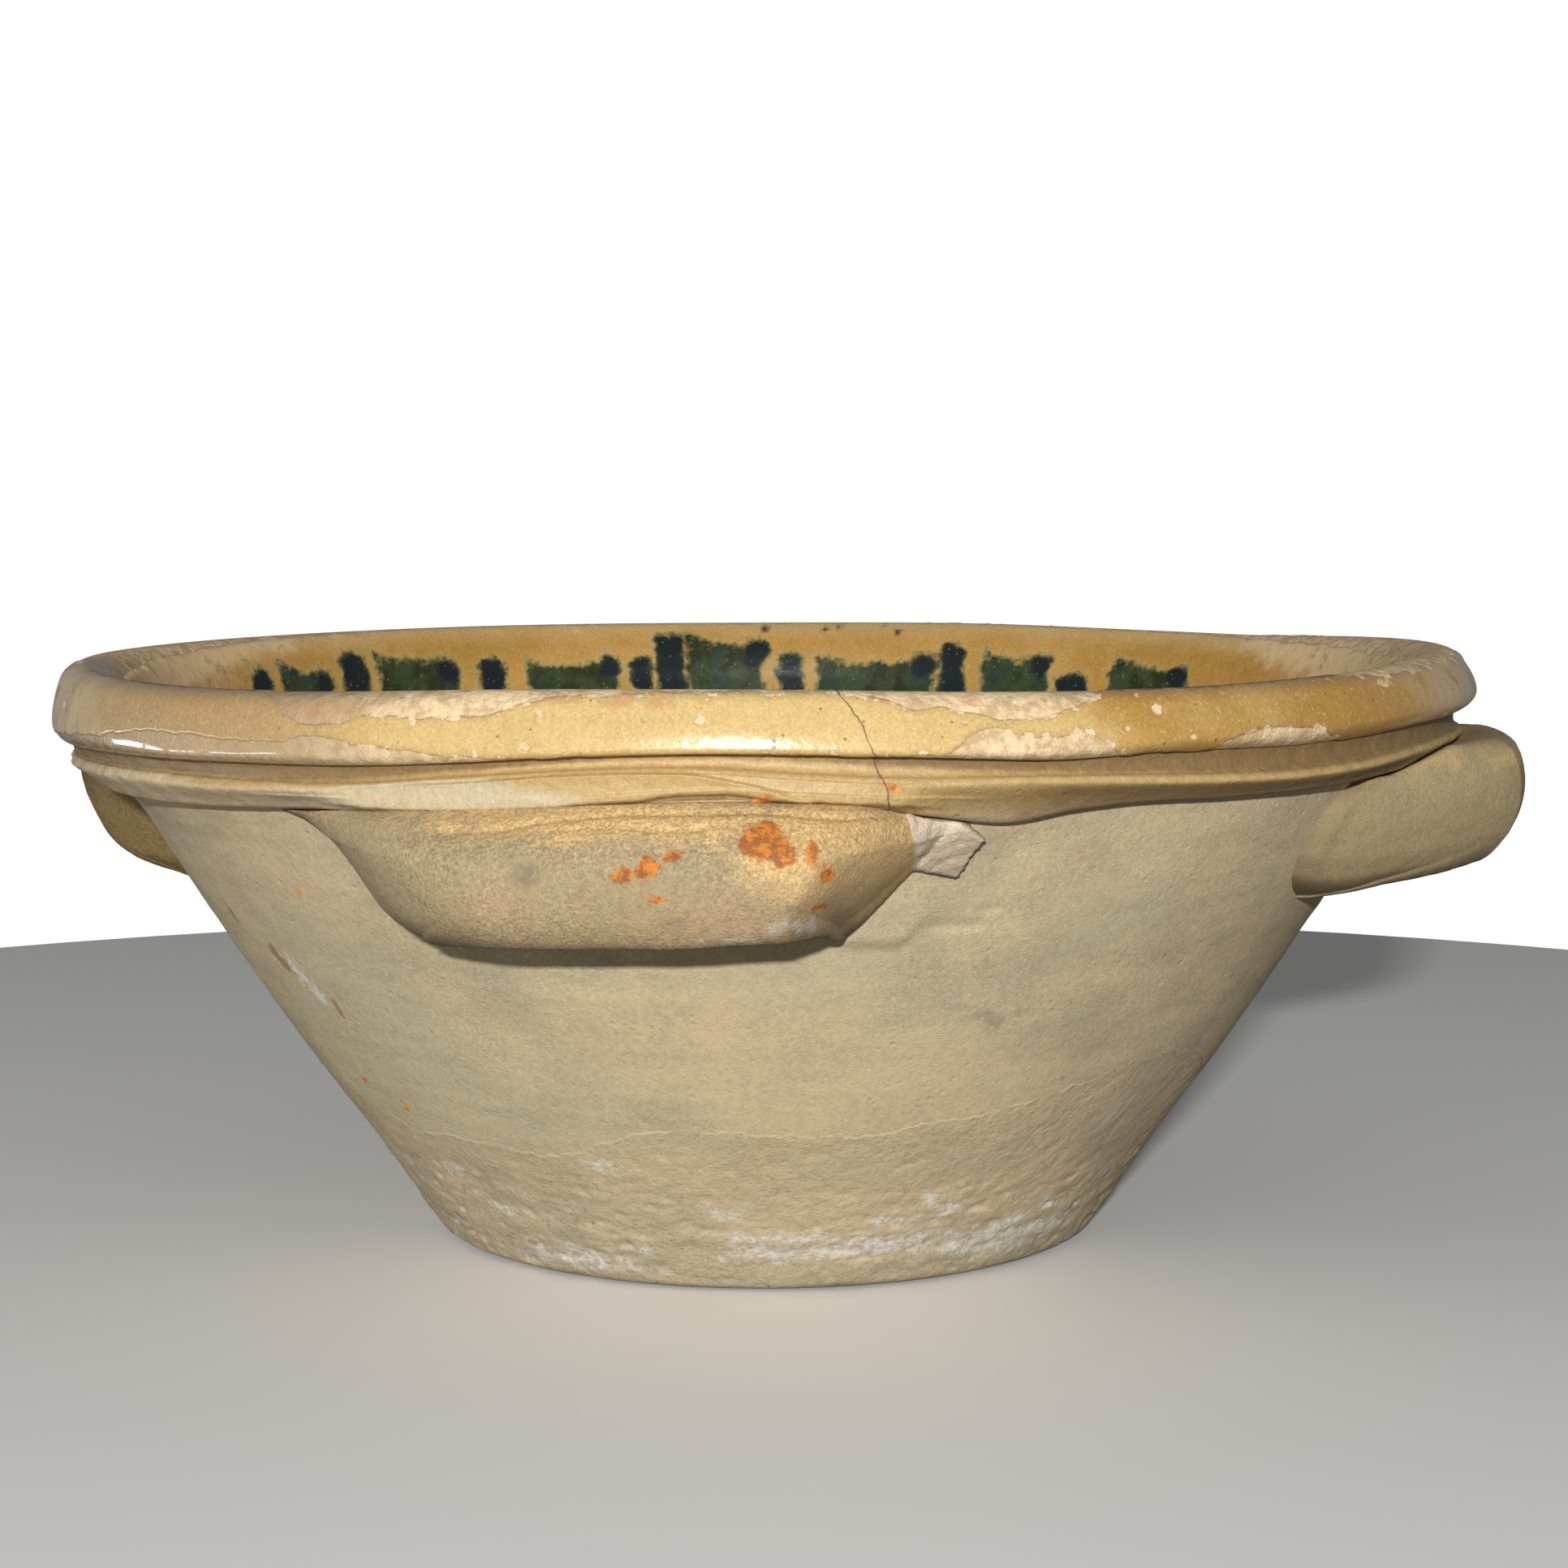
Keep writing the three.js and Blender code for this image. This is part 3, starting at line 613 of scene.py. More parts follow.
def inside_line(sizes, share):
    """Inside of the bowl from the axis to the crest, at shares 0 to 1 of its five stretches.

    The flat floor, a quadratic fillet, the wall's own line moved in by its thickness, a straight throat
    and a cubic over to the crest.
    """
    lap = sizes.seam_height + sizes.lap_height
    collar = sizes.rim_height - sizes.collar_drop
    roll_foot = sizes.rim_height - sizes.roll_height
    lap_radius = wall_radius(sizes, lap) - sizes.wall_across
    slope = (wall_radius(sizes, collar) - wall_radius(sizes, lap)) / (collar - lap)
    corner = lap_radius - slope * (lap - sizes.floor_thickness)
    throat = sizes.rim_radius - sizes.rim_overhang + sizes.shoulder_lean - sizes.wall_across
    crest = sizes.rim_radius - sizes.crest_inset
    t = [np.clip((share - low) / (high - low), 0, 1) for low, high in zip(INSIDE_STOPS, INSIDE_STOPS[1:])]
    floor = np.stack([(corner - sizes.floor_fillet) * t[0], 0 * share + sizes.floor_thickness])
    fillet = quadratic((corner - sizes.floor_fillet, sizes.floor_thickness), (corner, sizes.floor_thickness),
                       (lap_radius, lap), t[1])
    height = blend(lap, collar, t[2])
    wall = np.stack([wall_radius(sizes, height) - sizes.wall_across, height])
    wall_end = wall_radius(sizes, collar) - sizes.wall_across
    neck = np.stack([blend(wall_end, throat, t[3]), blend(collar, roll_foot, t[3])])
    rim = cubic((throat, roll_foot), (throat + 1 * mm, roll_foot + 0.6 * sizes.roll_height),
                (crest - 8 * mm, sizes.rim_height), (crest, sizes.rim_height), t[4])
    pick = np.searchsorted(INSIDE_STOPS[1:-1], share, side="right")
    parts = (floor, fillet, wall, neck, rim)
    return tuple(np.choose(pick, [part[k] for part in parts]) for k in range(2))


def patches(turn, height, radius, places):
    """Distance in millimetres to the edge of the nearest of several ellipses, positive inside them."""
    best = np.full(np.broadcast(turn, height, radius).shape, FAR)
    for at, level, half_width, half_height in places:
        aside = np.radians(between(turn, at)) * radius / mm
        ratio = np.hypot(aside / half_width, (height / mm - level) / half_height)
        best = np.maximum(best, (1 - ratio) * min(half_width, half_height))
    return best


def polygon(turn, height, radius, corners):
    """Distance in millimetres inside a convex outline of (turn, height) corners, listed clockwise as seen."""
    best = np.full(np.broadcast(turn, height, radius).shape, -FAR)
    middle = sum(at for at, _ in corners) / len(corners)
    for (turn_a, level_a), (turn_b, level_b) in zip(corners, corners[1:] + corners[:1]):
        side = np.radians(np.array([turn_a - middle, turn_b - middle])) * np.mean(radius) / mm
        run = np.array([side[1] - side[0], level_b - level_a])
        run = run / np.hypot(*run)
        aside = np.radians(between(turn, middle)) * radius / mm - side[0]
        best = np.minimum(best, aside * run[1] - (height / mm - level_a) * run[0])
    return best


def crack_distance(turn, height, radius):
    """Signed distance in millimetres, sideways, from the hairline crack, at most 30."""
    heights, turns = np.array(CRACK).T
    aside = np.radians(between(turn, np.interp(height / mm, heights, turns))) * radius / mm
    return np.clip(aside, -30, 30)


def make_piece(name, points, rows_close, marks, material, node):
    """A mesh from a grid whose columns close. Its rows close too, or run from one pole to the other.

    A pole is one vertex at the mean of its row. The faces are turned so that the volume comes out positive.
    """
    rows, columns = points.shape[:2]
    grid = np.arange(rows * columns).reshape(rows, columns)
    vertices = points.reshape(-1, 3)
    values = {key: np.broadcast_to(mark, (rows, columns)).ravel() for key, mark in marks.items()}
    fans = np.empty((0, 3), int)
    right = np.roll(grid, -1, 1)
    if rows_close:
        quads = [grid, right, np.roll(right, -1, 0), np.roll(grid, -1, 0)]
    else:
        quads = [grid[:-1], right[:-1], right[1:], grid[1:]]
        first, last = rows * columns, rows * columns + 1
        ends = np.array([points[0].mean(0), points[-1].mean(0)])
        vertices = np.concatenate([vertices, ends])
        values = {key: np.append(mark, [mark[:columns].mean(), mark[-columns:].mean()])
                  for key, mark in values.items()}
        fans = np.concatenate([
            np.stack([right[0], grid[0], np.full(columns, first)], 1),
            np.stack([grid[-1], right[-1], np.full(columns, last)], 1)])
    quads = np.stack(quads, -1).reshape(-1, 4)
    split = np.concatenate([quads[:, [0, 1, 2]], quads[:, [0, 2, 3]], fans])
    a, b, c = (vertices[split[:, k]] for k in range(3))
    if (a * np.cross(b, c)).sum() < 0:
        quads, fans = quads[:, ::-1], fans[:, ::-1]
    mesh = bpy.data.meshes.new(name)
    mesh.vertices.add(len(vertices))
    mesh.vertices.foreach_set("co", vertices.astype(np.float32).ravel())
    mesh.loops.add(quads.size + fans.size)
    mesh.loops.foreach_set("vertex_index", np.concatenate([quads.ravel(), fans.ravel()]).astype(np.int32))
    mesh.polygons.add(len(quads) + len(fans))
    starts = np.concatenate([np.arange(len(quads)) * 4, quads.size + np.arange(len(fans)) * 3])
    mesh.polygons.foreach_set("loop_start", starts.astype(np.int32))
    mesh.polygons.foreach_set("use_smooth", np.ones(len(starts), bool))
    mesh.update(calc_edges=True)
    for key, mark in values.items():
        mesh.attributes.new(key, "FLOAT", "POINT").data.foreach_set("value", mark.astype(np.float32))
    mesh.materials.append(material)
    piece = bpy.data.objects.new(name, mesh)
    bpy.context.scene.collection.objects.link(piece)
    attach(piece, "root")
    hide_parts(node)


def slip_edge(sizes, turn):
    """Ragged lower edge of the smooth slip, as a height round the turn."""
    ring = spun(sizes.seam_radius, 0 * turn, turn)
    return around(SLIP_EDGE, turn) * mm + 3.5 * mm * cloud(ring, 24 * mm, 17, 4)


def clay_skin(sizes, turn, height):
    """How far the outside of the bowl stands off its even line.

    Broad dents, throwing lines that drift slowly round the turn, a coat of slip that ends in a ragged edge
    with rough scaly clay below it, an apron of clay wiped down from the front handle and one scratch.
    """
    radius = wall_radius(sizes, height)
    place = spun(radius, height, turn)
    dents = 0.9 * mm * cloud(place, 75 * mm, 11, 2)
    drawn = place * np.array([0.06, 0.06, 1.0])
    lines = 0.3 * mm * cloud(drawn, 7 * mm, 12, 3) + 0.3 * mm * cloud(drawn, 22 * mm, 13, 1)
    grain = 0.1 * mm * cloud(place, 3.6 * mm, 14, 2)
    above = height - slip_edge(sizes, turn)
    slip = 0.16 * mm * ease(above, -0.8 * mm, 0.8 * mm) * (1 - 0.9 * hump(turn, 5, 20))
    raw = ease(above, 1 * mm, -9 * mm)
    layers = cloud(place * np.array([0.3, 0.3, 1.0]), 5 * mm, 15, 3)
    lumps = 0.6 - 2 * np.abs(cloud(place * np.array([0.6, 0.6, 1.0]), 8 * mm, 18, 3))
    pits = np.clip(cloud(place * np.array([0.7, 0.7, 1.0]), 4 * mm, 16, 3) - 0.25, 0, 1)
    worn = blend(0.5, 1.25, ease(height, 50 * mm, 14 * mm))
    rough = raw * worn * (0.5 * mm * layers + 0.4 * mm * lumps - 2.2 * mm * pits)
    apron = polygon(turn, height, radius, APRON)
    sharp = ease(height, 141 * mm, 128 * mm)
    edge = ease(apron, blend(-9.0, -0.4, sharp), blend(9.0, 1.0, sharp))
    wiped = 1.4 * mm * edge * (1 - 0.8 * ease(apron, 2, 22))
    scratch = 0.7 * mm * ease(patches(turn, height, radius, SCRATCH), -0.6, 0.8)
    return dents + lines * (1 - 0.5 * raw) + grain + slip + rough + wiped - scratch


def skin_marks(sizes, turn, height, radius):
    """Stains on the outside, as distances to their edges."""
    return {
        "rust": patches(turn, height, radius, RUST),
        "lime": patches(turn, height, radius, LIME),
        "soot": patches(turn, height, radius, SOOT),
        "umber": patches(turn, height, radius, DRIPS),
        "peach": patches(turn, height, radius, PEACH),
        "damp": patches(turn, height, radius, DAMP),
        "raw": (slip_edge(sizes, turn) - height) / mm,
    }


def wall_marks(sizes, turn, height, radius):
    """Stains of the wall and the base, where the rust is nearly washed away."""
    marks = skin_marks(sizes, turn, height, radius)
    return {**marks, "rust": marks["rust"] - RUST_FADE}


def base_shape(sizes):
    """The base dish: flat foot, rounded edge, straight side to the seam, lap, fillet and floor."""
    turn = column_turns(640)
    inner = inside_line(sizes, np.linspace(INSIDE_STOPS[2], 0.01, 26))
    round_end = (sizes.foot_radius + 0.56 * sizes.foot_round, 0.83 * sizes.foot_round)
    edge = quadratic((sizes.foot_radius - sizes.foot_round, 0.0), (sizes.foot_radius, 0.0), round_end,
                     np.linspace(0, 1, 7))
    rise = np.linspace(round_end[1], sizes.seam_height, 40)[1:]
    rise = np.insert(rise, -1, sizes.seam_height - hair)
    foot = np.linspace(0.02, 1, 14)[:-1] * (sizes.foot_radius - sizes.foot_round)
    lap = sizes.seam_height + sizes.lap_height
    lap_foot = sizes.seam_radius - sizes.wall_across / 2
    radius = np.concatenate([foot, edge[0], wall_radius(sizes, rise), [lap_foot], inner[0]])
    height = np.concatenate([0 * foot, edge[1], rise, [lap], inner[1]])
    outside = np.concatenate([0 * foot, ease(edge[1], -1 * mm, 3 * mm), 0 * rise + 1, [0], 0 * inner[0]])
    skin = clay_skin(sizes, turn, column(height)) * column(outside)
    return turn, column(radius) + skin, column(height) + 0 * turn


def wall_shape(sizes):
    """The wall: its outside from the seam up behind the collar, over the top and down the inside."""
    turn = column_turns(760)
    roll_foot = sizes.rim_height - sizes.roll_height
    collar = sizes.rim_height - sizes.collar_drop
    shoulder = sizes.rim_radius - sizes.rim_overhang + sizes.shoulder_lean
    rise = np.linspace(sizes.seam_height, collar, 104)
    rise = np.insert(rise, 1, sizes.seam_height + hair)
    inner = inside_line(sizes, np.linspace(INSIDE_STOPS[4], INSIDE_STOPS[2] + 0.005, 14))
    radius = np.concatenate([wall_radius(sizes, rise), [shoulder], inner[0]])
    height = np.concatenate([rise, [roll_foot], inner[1]])
    outside = np.concatenate([0 * rise + 1, [0], 0 * inner[0]])
    skin = clay_skin(sizes, turn, column(height)) * column(outside)
    return turn, column(radius) + skin, column(height) + 0 * turn


def collar_shape(sizes):
    """The collar: underside, slope out to a crisp lip, and a cove up to the foot of the roll.

    Over the front handle the slope carries two laps of clay, each raised at its upper edge and fading
    downwards, and a split where the handle's top was not wiped in. On the left the lip has slumped.
    """
    turn = column_turns(1000)
    collar = sizes.rim_height - sizes.collar_drop
    lip = sizes.rim_height - sizes.lip_drop
    roll_foot = sizes.rim_height - sizes.roll_height
    wall_top = sizes.rim_radius - sizes.rim_overhang
    shelf = wall_top + sizes.collar_shelf
    nose = sizes.rim_radius - sizes.lip_inset
    shoulder = wall_top + sizes.shoulder_lean
    bend = (blend(shelf, nose, 0.25), blend(collar, lip, 0.35))
    edge = (nose, lip + 1.6 * mm)
    ledge = (nose - 1.2 * mm, lip + sizes.lip_height)
    hollow = nose - sizes.cove_depth
    under = quadratic((wall_top - 1 * mm, collar + 1 * mm), (shelf, collar - 0.4 * mm), bend,
                      np.linspace(0, 1, 12))
    slope = cubic(bend, (blend(shelf, nose, 0.6), blend(collar, lip, 0.8)), (nose + 0.2 * mm, lip + 0.1 * mm),
                  edge, np.linspace(0, 1, 30))[:, 1:]
    top = quadratic(edge, (nose - 0.1 * mm, lip + 2.8 * mm), ledge, np.linspace(0, 1, 8))[:, 1:]
    cove = cubic(ledge, (hollow - 0.6 * mm, lip + sizes.lip_height + 0.6 * mm),
                 (hollow - 0.8 * mm, roll_foot - 2.6 * mm), (nose - 2.2 * mm, roll_foot + 0.8 * mm),
                 np.linspace(0, 1, 26))[:, 1:]
    back = np.array([[shoulder, shoulder - 1 * mm], [roll_foot + 0.8 * mm, collar + 4 * mm]])
    lines = (under, slope, top, cove, back)
    radius, height = (column(line) for line in np.concatenate(lines, axis=1))
    rows = [line.shape[1] for line in lines]
    shown = column(np.concatenate([np.linspace(0, 1, rows[0]), np.ones(sum(rows[1:4])), np.zeros(rows[4])]))
    sloping = column(np.concatenate([np.ones(sum(rows[:2])), np.zeros(sum(rows[2:]))]))
    spread = np.clip(nose + 0.6 * mm - radius, 0, 13 * mm)
    spread = spread * ease(height, collar - 0.5 * mm, collar + 2.0 * mm)
    radius = radius + stretch(turn, *LUG_STRETCH) * spread * sloping
    real = settle(sizes, radius, height, turn) - lean_at(sizes, radius, height, turn)
    place = spun(radius, height, turn)
    drawn = place * np.array([0.1, 0.1, 1.0])
    skin = 0.35 * mm * cloud(drawn, 6 * mm, 21, 3) + 0.5 * mm * cloud(place, 40 * mm, 22, 2)
    skin = skin + 0.45 * mm * cloud(place, 6 * mm, 25, 3)
    slumped = stretch(turn, *SLUMP_STRETCH)
    skin = skin + slumped * 1.0 * mm * cloud(place, 12 * mm, 26, 3)
    skin = skin - slumped * 2.0 * mm * np.exp(-((height - lip - 2.4 * mm) / (2.2 * mm)) ** 2)
    for line, depth, run in COLLAR_LAPS:
        start, end = line[0][0], line[-1][0]
        below = around(line, turn) - real / mm
        lap = ease(below, -0.5, 0.4) * np.exp(-np.clip(below, 0, 60) / run)
        skin = skin + depth * mm * stretch(turn, start, start + 4, end - 3, end) * lap
    above = real / mm - around(SPLIT, turn) - 0.5 * cloud(place, 5 * mm, 23, 2)
    opened = stretch(turn, *SPLIT_STRETCH)
    skin = skin - 2.0 * mm * opened * np.exp(-(above / 0.85) ** 2)
    return turn, radius + skin * shown, height + 0 * turn, above, opened


def collar_marks(sizes, turn, radius, height, split, opened):
    """Marks of the collar, most of them as distances in millimetres to their edges.

    Thin glaze washes the cove and the slope over the front handle. Dirt and painted shade lie in the cove and
    in the split, painted shade under the lip on the right, and soil with painted shade all over on the left.
    """
    lip = (sizes.rim_height - sizes.lip_drop + sizes.lip_height) / mm
    above = height / mm - lip
    place = spun(sizes.rim_radius, 0 * turn, turn)
    drift = 2.0 * cloud(place, 60 * mm, 24, 2)
    wash = above + 5.0 + 2.0 * drift + 6.0 * hump(turn, 10, 24) - 9.0 * hump(turn, -62, 32)
    wash = wash - 9.0 * hump(turn, -13, 8) * ease(above, 1, -2)
    # Dirt and painted shade in the cove, lighter in front, and in the split.
    cove = np.minimum(above + 0.2, 4.0) - 4.0 * hump(turn, 6, 24)
    # Painted shade under the lip on the right.
    right = stretch(between(turn, 45), -25, -12, 20, 40) * ease(above, -1, -4)
    # Soil and painted shade on the left, strongest in the cove.
    left = stretch(turn, *SOIL_AND_SHADE_STRETCH) * blend(0.2, 0.5, ease(above, -1, 1))
    return {
        "wash": wash,
        "dirt": np.maximum(cove, opened * (0.8 - np.abs(split)) * 2 - 2 * (1 - opened)),
        "soiled": np.maximum(right, left),
        "rust": patches(turn, height, radius, RUST),
        "crack": crack_distance(turn, height, radius),
    }


def roll_profile(sizes, turn, share):
    """The rim roll at shares 0 to 1 from its foot outside over the crest, before settling.

    The foot is tucked in and the bulge sits high on the sides. Over the front handle the thumb wiped the
    lower edge sharp, so there the bulge comes down to the foot. Left of it the roll was pressed flat.
    """
    wiped = hump(turn, 8, 30.0)
    foot = sizes.rim_height - sizes.roll_height
    tuck = blend(6.4 * mm, 1.6 * mm, wiped)
    rise = blend(6.6 * mm, 1.2 * mm, wiped)
    pressed = hump(turn, -34, 16.0)
    tuck = blend(tuck, 3.4 * mm, pressed)
    rise = blend(rise, 3.0 * mm, pressed)
    right = stretch(between(turn, 100), -70, 0, 0, 70)
    slack = blend(blend(2.6 * mm, 4.6 * mm, wiped), 4.2 * mm, right)
    bulge = sizes.rim_radius
    crest = sizes.rim_radius - sizes.crest_inset
    stops = (0.22, 0.62)
    low = quadratic((bulge - tuck, foot), (bulge + 0.2 * mm, foot + 0.28 * rise), (bulge, foot + rise),
                    np.clip(share / stops[0], 0, 1))
    brow = (bulge - slack, sizes.rim_height - 5.0 * mm)
    middle = (bulge - 0.16 * slack * wiped, blend(foot + rise, brow[1], 0.4))
    face = quadratic((bulge, foot + rise), middle, brow,
                     np.clip((share - stops[0]) / (stops[1] - stops[0]), 0, 1))
    top = cubic(brow, (brow[0] - 0.9 * mm, brow[1] + 2.6 * mm), (crest + 4.5 * mm, sizes.rim_height),
                (crest, sizes.rim_height), np.clip((share - stops[1]) / (1 - stops[1]), 0, 1))
    pick = np.searchsorted(stops, share, side="right") + np.zeros(np.broadcast(share, turn).shape, int)
    return np.choose(pick, [low[0], face[0], top[0]]), np.choose(pick, [low[1], face[1], top[1]])


def roll_skin(radius, height, turn):
    """Unevenness of the clay of the roll: soft dents along the turn and a fine tooth."""
    place = spun(radius, height, turn)
    drawn = place * np.array([0.25, 0.25, 1.0])
    return 0.45 * mm * cloud(place, 34 * mm, 31, 2) + 0.16 * mm * cloud(drawn, 7 * mm, 32, 2)


def rim_shape(sizes):
    """The rim roll: its outside over the crest, its inside down to the throat, and a flat foot."""
    turn = column_turns(1000)
    out_radius, out_height = roll_profile(sizes, turn, np.linspace(0, 1, 52)[:, None])
    skin = roll_skin(out_radius, out_height, turn)
    inner = inside_line(sizes, np.linspace(1, INSIDE_STOPS[4], 18)[1:])
    in_radius, in_height = (column(line) + 0 * turn for line in inner)
    flat = np.linspace(0.2, 0.8, 4)[:, None]
    foot_radius = blend(in_radius[-1:], out_radius[:1], flat)
    foot_height = blend(in_height[-1:], out_height[:1], flat)
    fade = ease(np.linspace(0, 1, 52)[:, None], 1.0, 0.75)
    radius = np.concatenate([out_radius + skin * fade, in_radius, foot_radius])
    height = np.concatenate([out_height, in_height, foot_height])
    return turn, radius, height


def rim_glaze_shape(sizes):
    """The coat on the face of the roll between its two worn edges, feathered into the clay at both.

    Rows run up the coat's face and back down inside the clay. A row's share of the roll is found from its
    height, because both edges are lines of height round the turn.
    """
    turn = column_turns(2000)
    shares = np.linspace(0, 1, 200)[:, None]
    line_radius, line_height = roll_profile(sizes, turn, shares)
    real = settle(sizes, line_radius, line_height, turn) - lean_at(sizes, line_radius, line_height, turn)
    place = spun(sizes.rim_radius, 0.0, turn)
    upper, lower = (1.1 * cloud(place, 8 * mm, seed, 4)[0] + 0.45 * cloud(place, 2.6 * mm, seed + 2, 2)[0]
                    for seed in (41, 44))
    foot = around(GLAZE_FOOT, turn)[0] + lower
    top = np.maximum(around(GLAZE_TOP, turn)[0] + upper, foot + LEAST_GLAZE)
    levels = blend(foot, top, np.linspace(0, 1, 40)[:, None])
    real_mm = np.maximum.accumulate(real / mm, axis=0) + shares * 1e-6
    share = np.stack([np.interp(level, line, shares[:, 0])
                      for level, line in zip(levels.T, real_mm.T)], axis=1)
    radius, height = roll_profile(sizes, turn, share)
    skin = roll_skin(radius, height, turn)
    inset = np.minimum(levels - foot, top - levels)
    chips = patches(turn, levels * mm, radius, CHIPS)
    coat = blend(-0.1 * mm, sizes.glaze, ease(inset, 0, 0.8)) - 0.3 * mm * ease(chips, -0.5, 0.5)
    buried = -0.9 * mm
    face = np.stack([radius + skin, height])
    slope = np.gradient(face, axis=1)
    normal = np.stack([slope[1], -slope[0]]) / np.hypot(slope[0], slope[1]).clip(1e-12)
    outer = face + normal * coat
    inner = (face + normal * buried)[:, ::-1]
    radius, height = np.concatenate([outer, inner], axis=1)
    return turn, radius, height, np.concatenate([inset, inset[::-1]]), np.concatenate([chips, chips[::-1]])


def rim_glaze_marks(turn, radius, height):
    """Marks of the rim glaze: ochre to the right, milky wear and painted sheen at the sides, thin to the
    left, and cracked.
    """
    place = spun(radius, height, turn)
    slanted = between(turn, 50) + 2.5 * cloud(place, 12 * mm, 46, 3) + 0.25 * (height / mm - 194)
    # Turn from the view: milky wear and painted sheen lie at the two sides of the rim.
    aside = np.abs(between(turn, 10))
    return {
        "crack": crack_distance(turn, height, radius),
        "blush": patches(turn, height, radius, BLUSH),
        "deep": 0.9 * stretch(slanted, -20, -13, 60, 130),
        "scuffed": ease(aside, 50, 74) * blend(0.25, 1.0, ease(aside, 118, 98)),
        "thin": stretch(between(turn, -60), -80, -40, 32, 45),
    }


def bowl_glaze_shape(sizes):
    """The coat inside: from the axis over floor and wall to its worn edge near the crest, and back below."""
    turn = column_turns(720)
    edge = spun(sizes.rim_radius, 0.0, turn)
    worn = patches(turn, 0 * turn, sizes.rim_radius, BARE_INSIDE)[0]
    stop = 0.985 - 0.05 * ease(worn, -12, 12) + 0.006 * cloud(edge, 9 * mm, 51, 3)[0]
    lower = np.linspace(0.004, INSIDE_STOPS[3], 66)[:, None] + 0 * turn
    upper = blend(INSIDE_STOPS[3], stop, np.linspace(0, 1, 34)[1:, None])
    share = np.concatenate([lower, upper])
    radius, height = inside_line(sizes, share)
    slope = np.gradient(np.stack([radius, height]), axis=1)
    normal = np.stack([-slope[1], slope[0]]) / np.hypot(slope[0], slope[1]).clip(1e-12)
    inset = (stop - share) * 160
    place = spun(radius, height, turn)
    drawn = place * np.array([0.1, 0.1, 1.0])
    skin = 0.3 * mm * cloud(drawn, 9 * mm, 52, 2) * ease(radius, 20 * mm, 60 * mm)
    coat = blend(0.05 * mm, 1.0 * mm, ease(inset, 0, 1.5)) + skin * ease(inset, 1, 4)
    outer = np.stack([radius, height]) + normal * coat
    inner = (np.stack([radius, height]) - normal * 0.15 * mm)[:, ::-1]
    radius, height = np.concatenate([outer, inner], axis=1)
    return turn, radius, height, np.concatenate([inset, inset[::-1]])


def brush_marks(sizes, turn, height):
    """Distances in millimetres to the edges of the green brush marks and of their dark pools.

    The marks that can't be seen from the front carry on the pattern, each jogged a little by chance.
    """
    radius = sizes.rim_radius - 27 * mm
    place = spun(radius, height, turn)
    turn = turn + 0.8 * cloud(place, 8 * mm, 62, 3)
    level = height / mm + 2.3 * cloud(place, 8 * mm, 63, 3)
    per_degree = np.radians(1) * radius / mm
    green = np.full(np.broadcast(turn, height).shape, FAR)
    ink = green.copy()
    depth = 25.0
    rounding = 2.5
    dabs = list(DABS)
    sweeps = list(SWEEPS)
    draw = np.random.default_rng(61)
    carry_on = SWEEPS[-1][1] - 44.0
    count = int((carry_on - SWEEPS[0][0] - 20) // SWEEP_SPACING)
    for k in range(count):
        start = carry_on - SWEEP_SPACING * k
        jog = draw.uniform(-1.2, 1.2, 4)
        dabs.append((start + 2.0 + jog[0], 1.4 + 0.2 * jog[1], 192 + 2.5 * jog[2]))
        sweeps.append((start - 2.5, start - 12.5 + jog[1], 193 + 2.5 * jog[3], 191 + 2.5 * jog[0]))
    for at, half, top in dabs:
        aside = np.abs(between(turn, at)) * per_degree
        round_top = np.sqrt(np.clip(1 - (aside / (half * per_degree)) ** 2, 0, 1)) * rounding
        within = np.minimum(top - rounding + round_top - level, level - top + depth)
        inside = np.minimum(half * per_degree - aside, within)
        green = np.maximum(green, inside + 0.4)
        ink = np.maximum(ink, inside - 0.6)
    for at, top, size in DOTS:
        ink = np.maximum(ink, size - np.hypot(between(turn, at) * per_degree, level - top))
    for start, end, top_start, top_end in sweeps:
        run = (start - end) % 360
        share = ((start - turn) % 360) / run
        share = np.where(share > 1 + 0.5 * (360 / run - 1), share - 360 / run, share)
        along = np.clip(share, 0, 1)
        top = blend(top_start, top_end, along) - 3.0 * np.sin(np.pi * along)
        sides = np.minimum(share, 1 - share) * run * per_degree
        inside = np.minimum(sides, np.minimum(top - level, level - top + depth))
        green = np.maximum(green, inside)
        pool = 5.0 - np.hypot((share - 1) * run * per_degree + 4.5, level - top_end + 5.0)
        ink = np.maximum(ink, pool)
        green = np.maximum(green, pool + 0.8)
    return green, ink


def flank(offset, ends, depth):
    """How far down a flank a place lies: 0 on the face, 1 at the wall. Depth is 0 at the top and 1 below.

    The line where the flank meets the wall runs straight between its points and is then smoothed.
    """
    steps = np.linspace(-0.2, 1.2, FLANK_STEPS)
    line = np.interp(steps, *np.array(ends["wall"]).T)
    weight = np.hanning(2 * FLANK_SOFT + 3)[1:-1]
    line = np.convolve(np.pad(line, FLANK_SOFT, mode="edge"), weight / weight.sum(), mode="valid")
    wall = np.interp(depth, steps, line)
    face = blend(*ends["face"], depth)
    return np.clip((offset - face) / (wall - face), 0, 1)


